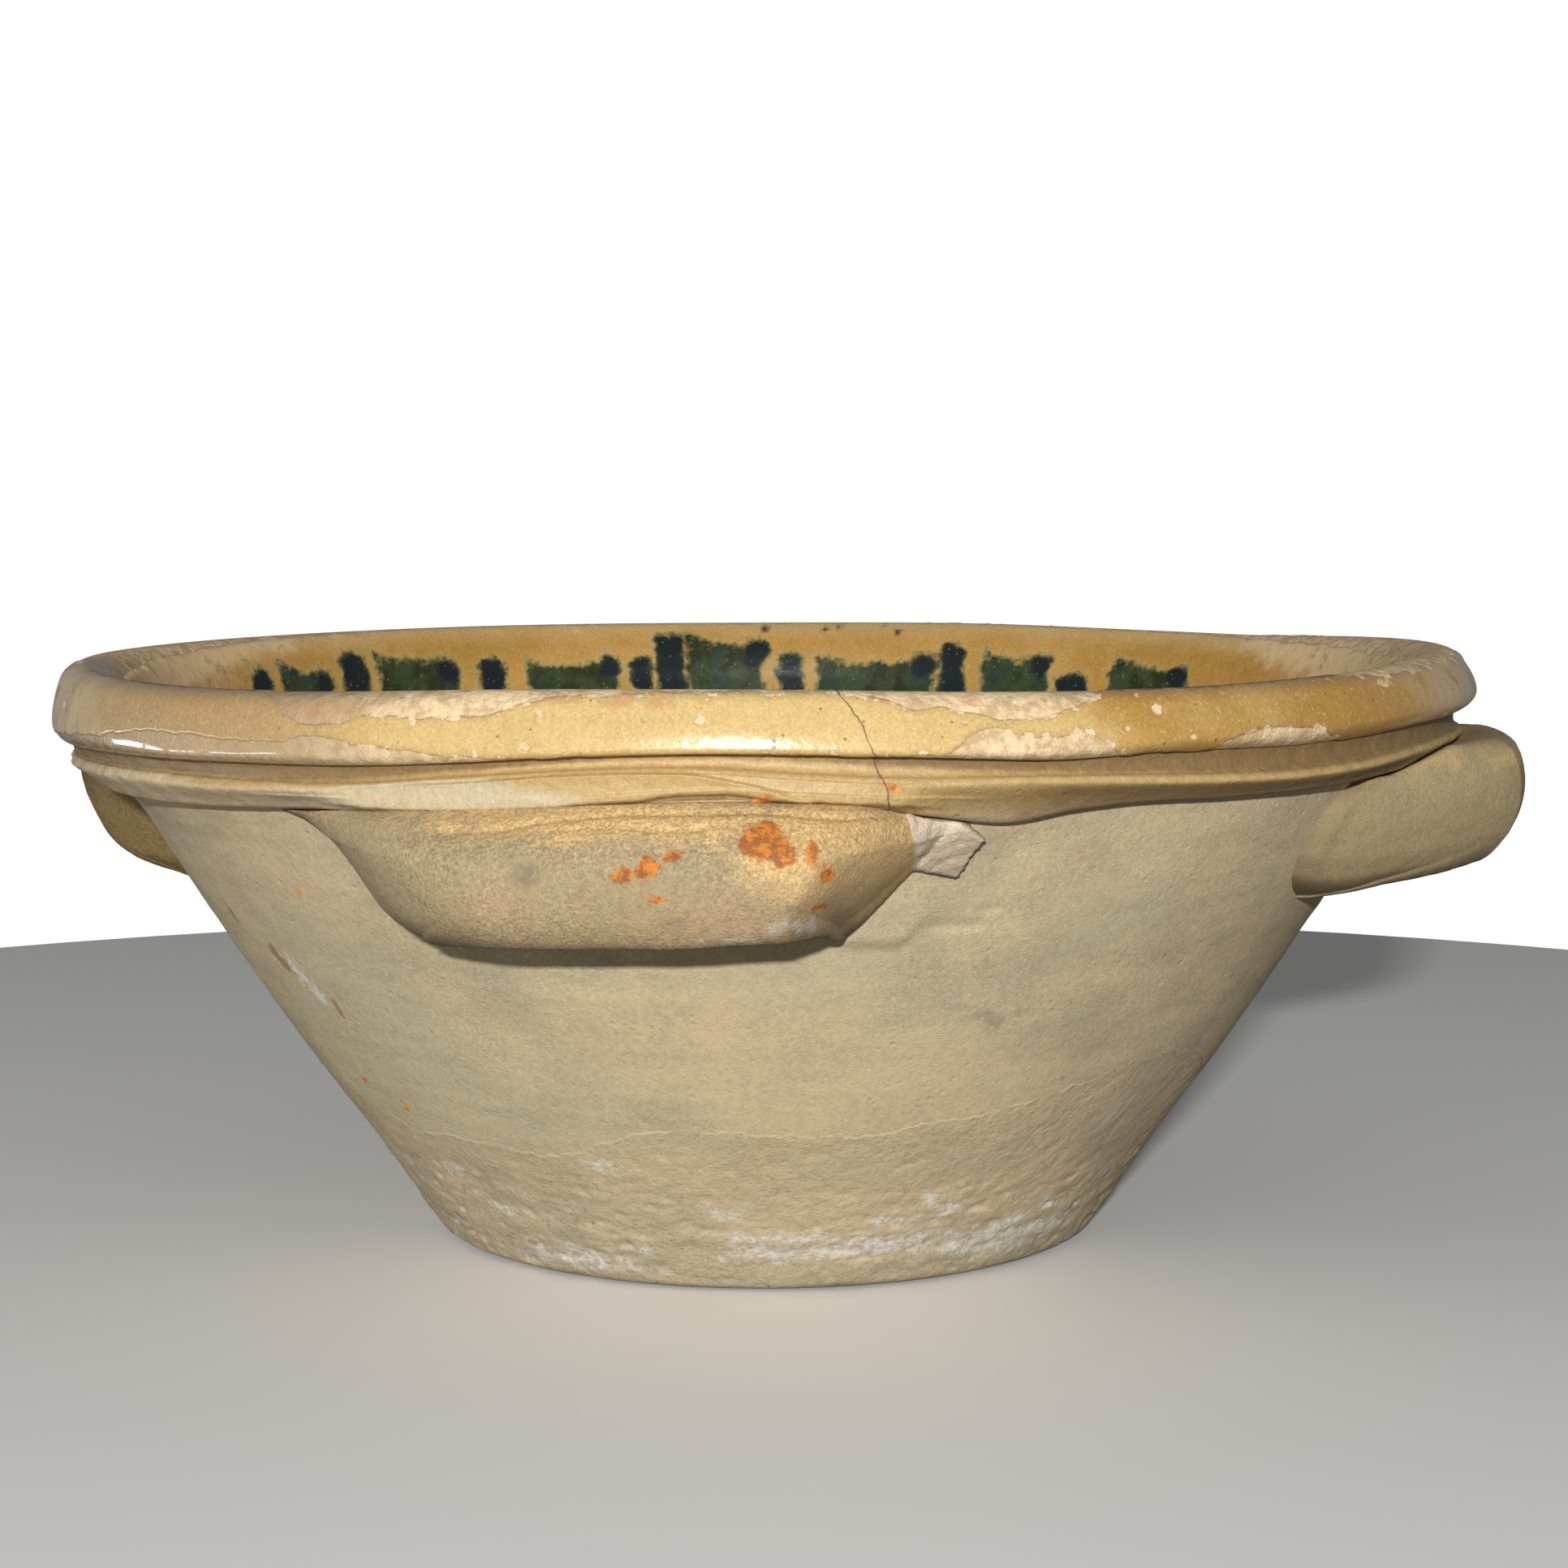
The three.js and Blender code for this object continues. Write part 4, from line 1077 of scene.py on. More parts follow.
def handle_shape(sizes, own):
    """An ear handle: a closed section carried round the wall.

    The section runs from the lip at the lower edge up the face, over the brow, back under the collar and down
    the finger hollow. On both flanks the face comes in to the wall and goes a little under its skin.
    """
    first = min(at for _, at in own["left"]["wall"]) - 1.5
    last = max(at for _, at in own["right"]["wall"]) + 1.5
    offset = np.linspace(first, last, 221)[:, None]
    turn = own["turn"] + offset
    collar = sizes.rim_height - sizes.collar_drop
    nose = sizes.rim_radius - sizes.lip_inset
    shelf = sizes.rim_radius - sizes.rim_overhang + sizes.collar_shelf
    bulge = sizes.rim_radius + own["reach"] * mm
    low = around(own["lower"], offset) * mm
    fullest = collar - own["belly"] * mm
    bow = own["draw"] * mm / ((own["drop"] - own["belly"]) * mm) ** 2

    def root(height):
        return wall_radius(sizes, height) - 1.4 * mm

    def coming_in(height):
        depth = np.clip((collar - height) / (collar - low), 0, 1)
        return flank(offset, own["left"], depth) + flank(offset, own["right"], depth)

    def proud(height):
        down = coming_in(height)
        swollen = 1 - down ** np.where(offset < 0, *own["swell"])
        return blend(1 - ease(down, 0, 1), swollen, np.where(offset < 0, *own["straight"]))

    def face(height):
        full = bulge - bow * (height - fullest) ** 2
        out = (full - root(height)) * proud(height) + own["blunt"] * mm * ease(coming_in(height), 1.0, 0.9)
        if own["scar"]:
            broken = polygon(turn, height, nose, own["scar"])
            out = np.maximum(out, 7 * mm * ease(broken, -0.6, 0.6))
        return root(height) + out

    def under_collar(radius):
        return blend(collar, own["brow"] * mm, np.clip((radius - shelf) / (nose - shelf), 0, 1))

    standing = proud(collar)
    tuck = np.minimum(nose + 1.5 * mm, face(collar) - blend(0.5 * mm, 12 * mm, standing))
    top = under_collar(tuck)
    turnover = blend(1 * mm, own["over"] * mm, standing)
    ceiling = blend(low, collar, 0.8)
    depth = np.maximum(0, face(low) - sizes.handle_thickness - root(low))
    lip = blend(1 * mm, own["lip"] * mm, proud(low))

    def hollow(height):
        t = np.clip((height - low) / (ceiling - low), 0, 1)
        return root(height) + depth * (1 - t ** 2.4) ** (1 / 2.4)

    foot = low + lip
    across = np.linspace(0, 1, 22)[None, :-1]
    outward = (1 - np.cos(np.pi * across)) / 2
    grade = np.clip((face(foot + 1 * mm) - face(foot)) / (1 * mm), -0.6, 0.6)
    dip = lip * np.sin(np.pi * across)
    lower = (blend(hollow(foot), face(foot), outward) - grade * dip * outward, foot - dip)
    shoulder = top - turnover
    climb = blend(foot, shoulder, np.linspace(0, 1, 64)[None, :])
    front = (face(climb), climb)
    lean_in = np.clip((face(shoulder) - face(shoulder - 1 * mm)) / (1 * mm), -0.35, 0.35)
    flare = own["flare"] * mm * standing
    crown = np.maximum(face(shoulder) + lean_in * (turnover + flare), tuck)
    bevel = (blend(crown, tuck, own["slope"]), top - own["slope"] * turnover + flare)
    over = quadratic((face(shoulder), shoulder), bevel, (tuck, top), np.linspace(0, 1, 24)[None, 1:])
    back_radius = blend(tuck, root(collar), np.linspace(0, 1, 14)[None, 1:])
    back = (back_radius, under_collar(back_radius))
    fall = blend(ceiling, foot, np.linspace(0, 1, 30)[None, :-1])
    inner = (hollow(fall), fall)
    parts = (lower, front, over, back, inner)
    radius = np.concatenate([part[0] + 0 * offset for part in parts], axis=1)
    height = np.concatenate([part[1] + 0 * offset for part in parts], axis=1)
    return turn, radius, height, coming_in(height)


def handle_skin(own, number, points, turn, broken):
    """How far a handle stands off its even surface: dents, a fine tooth, a rough break and folds."""
    rough = 1.1 * mm * cloud(points, 4.5 * mm, 81, 3) * ease(broken, 0, 1)
    dents = own["dents"] * mm * cloud(points, 26 * mm, 71 + number, 2)
    skin = dents + 0.14 * mm * cloud(points, 4 * mm, 75 + number, 2)
    for line, depth, width in own["folds"]:
        inside = stretch(turn, line[0][0], line[0][0] + 4, line[-1][0] - 4, line[-1][0])
        skin = skin - depth * mm * inside * np.exp(-((points[..., 2] / mm - around(line, turn)) / width) ** 2)
    return skin + rough


def handle_painted_shade(own, turn, level, down, facing_down):
    """Painted shade on a handle: by height, in the torn left end's crevice and over the whole underside."""
    strength, start, full = own["shade"]
    # Painted shade by height: darker low down on the front handle and under the collar on the left one.
    grime = strength * ease(level, start * mm, full * mm)
    if own["tear"]:
        # Painted shade of the crevice at the front handle's torn left end.
        turns, heights = own["tear"]
        torn = ease(down, 0.84, 0.97) * ease(between(turn, own["turn"]), *turns)
        grime = np.maximum(grime, torn * ease(level, heights[0] * mm, heights[1] * mm))
    # Painted shade over every face that looks down.
    return np.maximum(grime, 0.6 * facing_down)


class Tree:
    """Short ways to add nodes to a node tree."""

    def __init__(self, tree):
        self.tree = tree

    def add(self, kind, inputs=None, **settings):
        """A node with its settings, and with its inputs linked or set."""
        made = self.tree.nodes.new(kind)
        for key, value in settings.items():
            setattr(made, key, value)
        for key, value in (inputs or {}).items():
            if isinstance(value, bpy.types.NodeSocket):
                self.tree.links.new(value, made.inputs[key])
            else:
                made.inputs[key].default_value = value
        return made

    def link(self, socket, target):
        self.tree.links.new(socket, target)

    def math(self, operation, *values, clamp=False):
        inputs = dict(enumerate(values))
        return self.add("ShaderNodeMath", inputs, operation=operation, use_clamp=clamp).outputs[0]

    def times(self, first, *others):
        """Product of several values."""
        for other in others:
            first = self.math("MULTIPLY", first, other)
        return first

    def span(self, value, low, high, to_low=0.0, to_high=1.0):
        """Smooth step of a value from low to high."""
        inputs = {"Value": value, "From Min": low, "From Max": high, "To Min": to_low, "To Max": to_high}
        return self.add("ShaderNodeMapRange", inputs, interpolation_type="SMOOTHSTEP").outputs[0]

    def mix(self, share, a, b, blend_type="MIX"):
        """Mix of two colours, each a socket or three numbers."""
        inputs = {0: share}
        for key, value in ((6, a), (7, b)):
            inputs[key] = value if isinstance(value, bpy.types.NodeSocket) else (*value, 1.0)
        return self.add("ShaderNodeMix", inputs, data_type="RGBA", blend_type=blend_type).outputs[2]

    def lay(self, base, mask, strength, tint):
        """Lays a colour over a base where a mask is."""
        return self.mix(self.times(mask, strength), base, tint)

    def dapple(self, base, strength, share, dark, light):
        """Multiplies a base by a tint that goes from dark to light with a share."""
        return self.mix(strength, base, self.mix(share, dark, light), "MULTIPLY")

    def place(self):
        return self.add("ShaderNodeTexCoord").outputs["Object"]

    def squeezed(self, place, scale):
        return self.add("ShaderNodeMapping", {"Vector": place, "Scale": scale}).outputs[0]

    def noise(self, place, size, detail=2.0, roughness=0.55, distortion=0.0):
        inputs = {"Vector": place, "Scale": 1 / size, "Detail": detail, "Roughness": roughness,
                  "Distortion": distortion}
        return self.add("ShaderNodeTexNoise", inputs).outputs[0]

    def clouds(self, size, detail, roughness, low, high):
        """Noise on the piece itself, as a smooth step from low to high."""
        return self.span(self.noise(self.place(), size, detail, roughness), low, high)

    def mark(self, name):
        return self.add("ShaderNodeAttribute", attribute_name=name).outputs["Fac"]

    def group(self, name, inputs):
        return self.add("ShaderNodeGroup", inputs, node_tree=bpy.data.node_groups[name]).outputs

    def frayed(self, distance, fray, size, soft):
        """Mask of a mark with a frayed edge."""
        inputs = {"Distance": distance, "Fray": fray, "Size": size, "Soft": soft}
        return self.group("frayed edge", inputs)["Mask"]

    def specks(self, size, share, radius):
        """Mask of sparse specks."""
        return self.group("specks", {"Size": size, "Share": share, "Radius": radius})["Mask"]


def new_group(name, inputs, outputs):
    """A shader node group with named float inputs and outputs, ready to be filled."""
    tree = bpy.data.node_groups.new(name, "ShaderNodeTree")
    for label, default in inputs:
        socket = tree.interface.new_socket(label, in_out="INPUT", socket_type="NodeSocketFloat")
        socket.default_value = default
    for label in outputs:
        tree.interface.new_socket(label, in_out="OUTPUT", socket_type="NodeSocketFloat")
    build = Tree(tree)
    return build, build.add("NodeGroupInput").outputs, build.add("NodeGroupOutput").inputs


def make_clay_group():
    """Clay: cloudy tone, sandy grain, small pits and the height for a bump."""
    build, given, result = new_group("fired clay", (("Pits", 0.5),), ("Tone", "Warmth", "Grain", "Height"))
    place = build.place()
    drawn = build.squeezed(place, (0.2, 0.2, 1.0))
    broad = build.noise(place, 60 * mm, 4.0, 0.6)
    streaks = build.noise(drawn, 6 * mm, 4.0, 0.6)
    build.link(build.math("ADD", build.times(broad, 0.6), build.times(streaks, 0.4)), result["Tone"])
    flattened = build.squeezed(place, (1.0, 1.0, 1.4))
    build.link(build.noise(flattened, 95 * mm, 3.0, 0.6, 0.6), result["Warmth"])
    fine = build.noise(place, 0.8 * mm, 3.0, 0.75)
    sand = build.noise(place, 1.9 * mm, 3.0, 0.65)
    grain = build.math("ADD", build.times(fine, 0.55), build.times(sand, 0.45))
    build.link(grain, result["Grain"])
    cells = build.add("ShaderNodeTexVoronoi", {"Vector": place, "Scale": 1 / (4.2 * mm), "Randomness": 1.0})
    chance = build.add("ShaderNodeSeparateColor", {0: cells.outputs["Color"]}).outputs[0]
    small = build.times(build.span(cells.outputs["Distance"], 0.28, 0.12), build.span(chance, 0.72, 0.78))
    build.link(build.math("SUBTRACT", grain, build.times(small, given["Pits"])), result["Height"])


def make_ragged_group():
    """Mask of a mark from its distance in millimetres, with a frayed edge."""
    build, given, result = new_group(
        "frayed edge", (("Distance", 0.0), ("Fray", 1.0), ("Size", 3.0), ("Soft", 0.4)), ("Mask",))
    scale = build.math("DIVIDE", 1000.0, given["Size"])
    noise = build.add("ShaderNodeTexNoise", {
        "Vector": build.place(), "Scale": scale, "Detail": 4.0, "Roughness": 0.62}).outputs[0]
    frayed = build.times(build.math("SUBTRACT", noise, 0.5), build.times(given["Fray"], 4.0))
    value = build.math("ADD", given["Distance"], frayed)
    low = build.times(given["Soft"], -1.0)
    build.link(build.span(value, low, given["Soft"]), result["Mask"])


def make_speck_group():
    """Sparse specks: the middles of a share of the cells of a random lattice."""
    build, given, result = new_group(
        "specks", (("Size", 6.0), ("Share", 0.1), ("Radius", 0.18)), ("Mask",))
    scale = build.math("DIVIDE", 1000.0, given["Size"])
    cells = build.add("ShaderNodeTexVoronoi", {"Vector": build.place(), "Scale": scale})
    chance = build.add("ShaderNodeSeparateColor", {0: cells.outputs["Color"]})
    chosen = build.math("LESS_THAN", chance.outputs[0], given["Share"])
    reach = build.times(given["Radius"], build.math("ADD", chance.outputs[1], 0.3))
    spot = build.span(build.math("SUBTRACT", reach, cells.outputs["Distance"]), -0.03, 0.03)
    build.link(build.times(spot, chosen), result["Mask"])


def make_glaze_group():
    """Glaze: slow change of depth, ripples, pinholes and the height for a bump."""
    build, _, result = new_group("old glaze", (), ("Depth", "Streak", "Pinholes", "Height"))
    place = build.place()
    drawn = build.squeezed(place, (1.0, 1.0, 0.35))
    build.link(build.noise(place, 42 * mm, 4.0, 0.6, 0.4), result["Depth"])
    build.link(build.noise(drawn, 5 * mm, 4.0, 0.65), result["Streak"])
    cells = build.add("ShaderNodeTexVoronoi", {"Vector": place, "Scale": 1 / (2.4 * mm)})
    chance = build.add("ShaderNodeSeparateColor", {0: cells.outputs["Color"]}).outputs[0]
    holes = build.times(build.span(cells.outputs["Distance"], 0.26, 0.12), build.span(chance, 0.90, 0.94))
    build.link(holes, result["Pinholes"])
    ripple = build.noise(place, 7 * mm, 3.0, 0.6)
    peel = build.noise(place, 1.6 * mm, 2.0, 0.5)
    height = build.math("ADD", build.times(ripple, 1.6), build.times(peel, 0.35))
    build.link(build.math("SUBTRACT", height, build.times(holes, 0.6)), result["Height"])


def new_material(name, specular=0.5):
    """A material with its Principled shader, ready to be filled."""
    material = bpy.data.materials.new(name)
    material.use_nodes = True
    build = Tree(material.node_tree)
    shader = material.node_tree.nodes["Principled BSDF"]
    shader.inputs["Specular IOR Level"].default_value = specular
    return material, build, shader


def finish_shader(build, shader, body, roughness, height, depth):
    """Links a colour, a roughness and a bump of some depth to the shader."""
    build.link(body, shader.inputs["Base Color"])
    build.link(roughness, shader.inputs["Roughness"])
    bump = build.add("ShaderNodeBump", {"Height": height, "Distance": depth, "Strength": 1.0})
    build.link(bump.outputs[0], shader.inputs["Normal"])


def stained(build, colours, base, names):
    """Lays named stains over a colour, each mottled inside from its own colour to a paler one."""
    mottle = build.noise(build.place(), 2.6 * mm, 4.0, 0.7)
    for name in names:
        fray, size, soft, least, most = STAINS[name]
        mask = build.frayed(build.mark(name), fray, size, soft)
        strength = build.span(mottle, 0.36, 0.6, least, most)
        dark, light = getattr(colours, name), getattr(colours, f"{name}_pale")
        body = build.mix(build.span(mottle, 0.42, 0.58), dark, light)
        base = build.lay(base, mask, strength, body)
    return base


def salted(build, base, strength, tints):
    """Fine salt and pepper over a colour."""
    return build.dapple(base, strength, build.clouds(1.0 * mm, 2.0, 0.6, 0.38, 0.62), *tints)


def cracked(build, colours, base):
    """Draws the hairline crack from the signed distance that the piece carries, as a dark thread."""
    wander = build.times(build.math("SUBTRACT", build.noise(build.place(), 4 * mm, 3.0), 0.5), 2.2)
    aside = build.math("ABSOLUTE", build.math("ADD", build.mark("crack"), wander))
    return build.lay(base, build.span(aside, 0.42, 0.12), 0.8, colours.thread)


def make_outside_clay(colours):
    """Clay of the base and the wall: buff and grey in clouds, pink where the fire touched it, and stained.

    Below the slip it is raw: dark along the torn edge in places, then full of holes and crumbs.
    """
    material, build, shader = new_material("basin_clay", 0.35)
    clay = build.group("fired clay", {"Pits": 0.3})
    body = build.mix(build.span(clay["Tone"], 0.35, 0.66), colours.grey, colours.buff)
    body = build.lay(body, build.span(clay["Warmth"], 0.5, 0.72), 0.4, colours.pink)
    body = build.dapple(body, 0.45, build.span(clay["Grain"], 0.34, 0.66), *WALL_GRAIN)
    body = salted(build, body, 0.2, WALL_SALT)
    body = build.dapple(body, 0.55, build.clouds(24 * mm, 3.0, 0.6, 0.36, 0.64), *WALL_BLOTCHES)
    body = build.lay(body, build.specks(13.0, 0.12, 0.07), 0.5, colours.soot)
    body = build.lay(body, build.specks(19.0, 0.10, 0.06), 0.6, colours.rust)
    raw = build.frayed(build.mark("raw"), 1.0, 5.0, 0.6)
    body = build.lay(body, raw, 0.2, colours.raw)
    torn = build.math("ABSOLUTE", build.math("SUBTRACT", raw, 0.5))
    places = build.clouds(26 * mm, 2.0, 0.55, 0.48, 0.6)
    body = build.lay(body, build.times(build.span(torn, 0.5, 0.2), places), 0.5, colours.umber)
    holes = build.clouds(3.4 * mm, 4.0, 0.7, 0.40, 0.30)
    deep = build.span(build.mark("raw"), 4.0, 22.0)
    # Raw clay low on the base made paler and cooler, partly painted light thrown up from the floor.
    body = build.mix(deep, body, RAW_TINT_AND_BOUNCE, "MULTIPLY")
    body = build.lay(body, build.times(holes, deep), 0.6, colours.umber)
    body = stained(build, colours, body, ("peach", "damp", "rust", "soot", "umber", "lime"))
    roughness = build.span(clay["Grain"], 0.2, 0.8, 0.75, 0.93)
    crumbs = build.times(build.noise(build.place(), 4.2 * mm, 6.0, 0.72), build.times(raw, 2.2))
    finish_shader(build, shader, body, roughness, build.math("ADD", clay["Height"], crumbs), 0.4 * mm)
    return material


def outside_clay(colours):
    """The one clay of the base and the wall, made when it is first asked for."""
    return bpy.data.materials.get("basin_clay") or make_outside_clay(colours)


def collar_material(colours):
    """Collar: clay washed with thin glaze, brown and deep in the cove."""
    material, build, shader = new_material("collar_clay_wash")
    clay = build.group("fired clay", {"Pits": 0.4})
    body = build.mix(build.span(clay["Tone"], 0.3, 0.7), colours.grey, colours.buff)
    body = build.lay(body, build.span(clay["Warmth"], 0.42, 0.66), 0.6, colours.pink)
    wash = build.frayed(build.mark("wash"), 1.0, 6.0, 1.6)
    body = build.lay(body, wash, 0.72, colours.wash)
    # Dirt and painted shade in the cove and in the split.
    body = build.lay(body, build.frayed(build.mark("dirt"), 0.6, 4.0, 1.4), 0.85, colours.cove)
    # Soil and painted shade: under the lip on the right and all over on the left.
    body = build.lay(body, build.mark("soiled"), 0.78, colours.umber)
    body = build.dapple(body, 0.5, build.span(clay["Grain"], 0.3, 0.7), *COLLAR_GRAIN)
    body = stained(build, colours, body, ("rust",))
    body = cracked(build, colours, body)
    roughness = build.math("SUBTRACT", 0.8, build.times(wash, 0.4))
    finish_shader(build, shader, body, roughness, clay["Height"], 0.4 * mm)
    return material


def bare_rim(build, colours):
    """Clay of the rim where the glaze is gone: cream and pink in small clouds, scorched brown in places."""
    body = build.mix(build.clouds(5 * mm, 5.0, 0.7, 0.40, 0.58), colours.toasted, colours.cream)
    body = build.lay(body, build.clouds(15 * mm, 5.0, 0.65, 0.48, 0.66), 0.6, colours.scorched)
    return build.lay(body, build.clouds(2.2 * mm, 5.0, 0.75, 0.36, 0.28), 0.6, colours.crazing)


def rim_clay_material(colours):
    """Clay of the rim roll: bare, with a thin shine of glaze on the left, a blush and the hairline crack."""
    material, build, shader = new_material("rim_clay")
    clay = build.group("fired clay", {"Pits": 0.3})
    gloss = build.mark("gloss")
    body = build.mix(build.times(gloss, 0.85), bare_rim(build, colours), colours.gloss)
    body = stained(build, colours, body, ("blush",))
    body = cracked(build, colours, body)
    roughness = build.math("SUBTRACT", 0.75, build.times(gloss, 0.45))
    shader.inputs["Coat Roughness"].default_value = 0.1
    glints = build.clouds(9 * mm, 3.0, 0.6, 0.38, 0.5)
    build.link(build.times(gloss, glints), shader.inputs["Coat Weight"])
    waves = build.times(build.noise(build.place(), 3.2 * mm, 4.0, 0.65), 6.0)
    finish_shader(build, shader, body, roughness, build.math("ADD", clay["Height"], waves), 0.16 * mm)
    return material


def rim_glaze_material(colours):
    """Glaze of the rim: straw in front, ochre to the right, thin and brown to the left, and chipped."""
    material, build, shader = new_material("straw_glaze")
    shader.inputs["Coat Roughness"].default_value = 0.08
    glaze = build.group("old glaze", {})
    inset, thin = build.mark("inset"), build.mark("thin")
    drift = build.span(glaze["Depth"], 0.3, 0.7, -0.25, 0.25)
    depth = build.math("ADD", build.mark("deep"), drift, clamp=True)
    body = build.mix(depth, colours.straw, colours.ochre)
    body = build.lay(body, build.span(glaze["Streak"], 0.52, 0.72), 0.4, colours.streak)
    body = build.lay(body, thin, 0.85, colours.thin)
    body = build.lay(body, glaze["Pinholes"], 0.8, colours.umber)
    body = build.lay(body, build.span(inset, 2.6, 0.6), 0.35, colours.glaze_edge)
    chips = build.frayed(build.mark("chips"), 0.8, 2.6, 0.3)
    flakes = build.frayed(build.math("SUBTRACT", 0.5, inset), 2.6, 5.0, 0.5)
    bare = build.math("MAXIMUM", chips, build.times(flakes, build.math("SUBTRACT", 1.0, thin)))
    edge = build.span(build.math("ABSOLUTE", build.math("SUBTRACT", bare, 0.5)), 0.5, 0.1)
    body = build.lay(build.mix(bare, body, bare_rim(build, colours)), edge, 0.5, colours.chip_edge)
    body = salted(build, body, 0.3, GLAZE_SALT)
    body = build.lay(body, build.clouds(1.5 * mm, 4.0, 0.7, 0.56, 0.68), 0.45, colours.dust)
    body = build.lay(body, build.clouds(2.4 * mm, 4.0, 0.75, 0.38, 0.28), 0.6, colours.umber)
    body = build.lay(body, build.specks(7.0, 0.2, 0.12), 0.5, colours.rubbed)
    # Milky wear and painted sheen at the sides of the rim.
    scuffs_and_sheen = build.times(build.clouds(11 * mm, 5.0, 0.68, 0.30, 0.54), build.mark("scuffed"))
    body = build.lay(body, scuffs_and_sheen, 0.75, colours.scuffed)
    body = stained(build, colours, body, ("blush",))
    body = cracked(build, colours, body)
    smooth = build.span(glaze["Depth"], 0.3, 0.7, 0.26, 0.42)
    roughness = build.math("MAXIMUM", smooth, build.times(bare, 0.85))
    build.link(build.times(build.math("SUBTRACT", 1.0, bare), 0.5), shader.inputs["Coat Weight"])
    finish_shader(build, shader, body, roughness, glaze["Height"], 0.22 * mm)
    return material


def bowl_glaze_material(colours):
    """Glaze inside: ochre with milky specks, green brush marks with dark pools, worn to clay at the rim."""
    material, build, shader = new_material("ochre_glaze", 0.1)
    shader.inputs["Coat Roughness"].default_value = 0.07
    glaze = build.group("old glaze", {})
    worn, painted = build.mark("worn"), build.mark("green")
    body = build.mix(build.span(glaze["Depth"], 0.3, 0.7), colours.ochre, colours.honey)
    body = build.lay(body, build.span(glaze["Streak"], 0.5, 0.75), 0.35, colours.toffee)
    body = build.lay(body, build.span(build.mark("inset"), 11.0, 2.0), 0.85, colours.pale)
    body = salted(build, body, 0.3, GLAZE_SALT)
    near = build.math("ADD", build.times(build.span(painted, -7.0, 0.0), 0.6), 0.18)
    body = build.lay(body, build.specks(2.2, 0.5, 0.3), near, colours.halo)
    halo = build.frayed(build.math("ADD", painted, 1.6), *PAINT_EDGE)
    body = build.lay(body, halo, 0.5, colours.halo)
    green = build.frayed(painted, *PAINT_EDGE)
    paint = build.mix(build.clouds(8 * mm, 3.0, 0.6, 0.40, 0.60), colours.green, colours.moss)
    paint = build.lay(paint, build.clouds(13 * mm, 3.0, 0.6, 0.5, 0.64), 0.7, colours.teal)
    body = build.lay(body, green, 0.96, paint)
    body = build.lay(body, build.frayed(build.mark("ink"), 1.8, 5.0, 1.6), 0.92, colours.ink)
    body = build.lay(body, build.times(build.specks(1.7, 0.3, 0.25), green), 0.35, colours.fleck)
    bare = build.frayed(build.math("SUBTRACT", worn, 2.5), 5.0, 9.0, 5.0)
    body = build.lay(body, bare, 0.8, colours.bare)
    dirty = build.times(build.frayed(worn, 5.0, 9.0, 1.0), build.clouds(7 * mm, 6.0, 0.75, 0.54, 0.66))
    body = build.lay(body, dirty, 0.55, colours.grime)
    smooth = build.span(glaze["Depth"], 0.3, 0.7, 0.32, 0.46)
    roughness = build.math("MAXIMUM", smooth, build.times(bare, 0.75))
    build.link(build.times(build.math("SUBTRACT", 1.0, bare), 0.14), shader.inputs["Coat Weight"])
    finish_shader(build, shader, body, roughness, glaze["Height"], 0.25 * mm)
    return material


def handle_material(own, colours):
    """Handle: gritty buff clay, smears of straw glaze, dirt and painted shade where it meets the wall,
    painted shade below and in its torn end, a pale break, and stains.
    """
    material, build, shader = new_material(f"{own['name']}_handle_clay", own["shine"])
    grit = own["grit"]
    clay = build.group("fired clay", {"Pits": 0.12})
    body = build.mix(build.span(clay["Tone"], 0.35, 0.66), colours.grey, colours.buff)
    body = build.lay(body, build.span(clay["Warmth"], 0.42, 0.66), 0.55, colours.pink)
    smear = build.frayed(build.mark("smear"), 3.0, 9.0, 3.0)
    body = build.lay(body, smear, 0.8, colours.smear)
    body = build.dapple(body, grit, build.span(clay["Grain"], 0.36, 0.62), *HANDLE_GRAIN)
    body = salted(build, body, grit, HANDLE_SALT)
    body = build.lay(body, build.specks(2.6, 0.22, 0.2), 0.8 * grit, colours.sand)
    body = build.lay(body, build.specks(5.0, 0.14, 0.09), 0.5, colours.soot)
    scar = build.frayed(build.mark("scar"), 0.5, 3.0, 0.3)
    body = build.mix(scar, body, build.mix(build.span(clay["Grain"], 0.35, 0.65), *SCAR_GRAIN))
    # Dirt and painted shade where the handle meets the wall.
    body = build.lay(body, build.span(build.mark("joint"), 0.80, 0.98), 0.5, colours.joint)
    # Painted shade under the handle, by height and in the crevice at its torn end.
    body = build.lay(body, build.mark("crease"), 0.85, colours.crease)
    body = stained(build, colours, body, ("peach", "damp", "soot", "rust", "umber", "lime"))
    # The handle's tone: on the left and right handles partly browner clay and partly painted shade.
    body = build.mix(1.0, body, own["tone"], "MULTIPLY")
    roughness = build.math("SUBTRACT", 0.82, build.times(smear, 0.3))
    finish_shader(build, shader, body, roughness, clay["Height"], 1.6 * grit * mm)
    return material


class BASIN_OT_base(bpy.types.Operator):
    """Build the base dish"""

    bl_idname = "basin.base"
    bl_label = "Base dish"

    def execute(self, context):
        sizes, colours = context.scene.basin_sizes, context.scene.basin_colours
        turn, radius, height = base_shape(sizes)
        marks = wall_marks(sizes, turn, height, radius)
        points = settled(sizes, radius, height, turn)
        make_piece("clay_base", points, False, marks, outside_clay(colours), "base_dish")
        return {"FINISHED"}


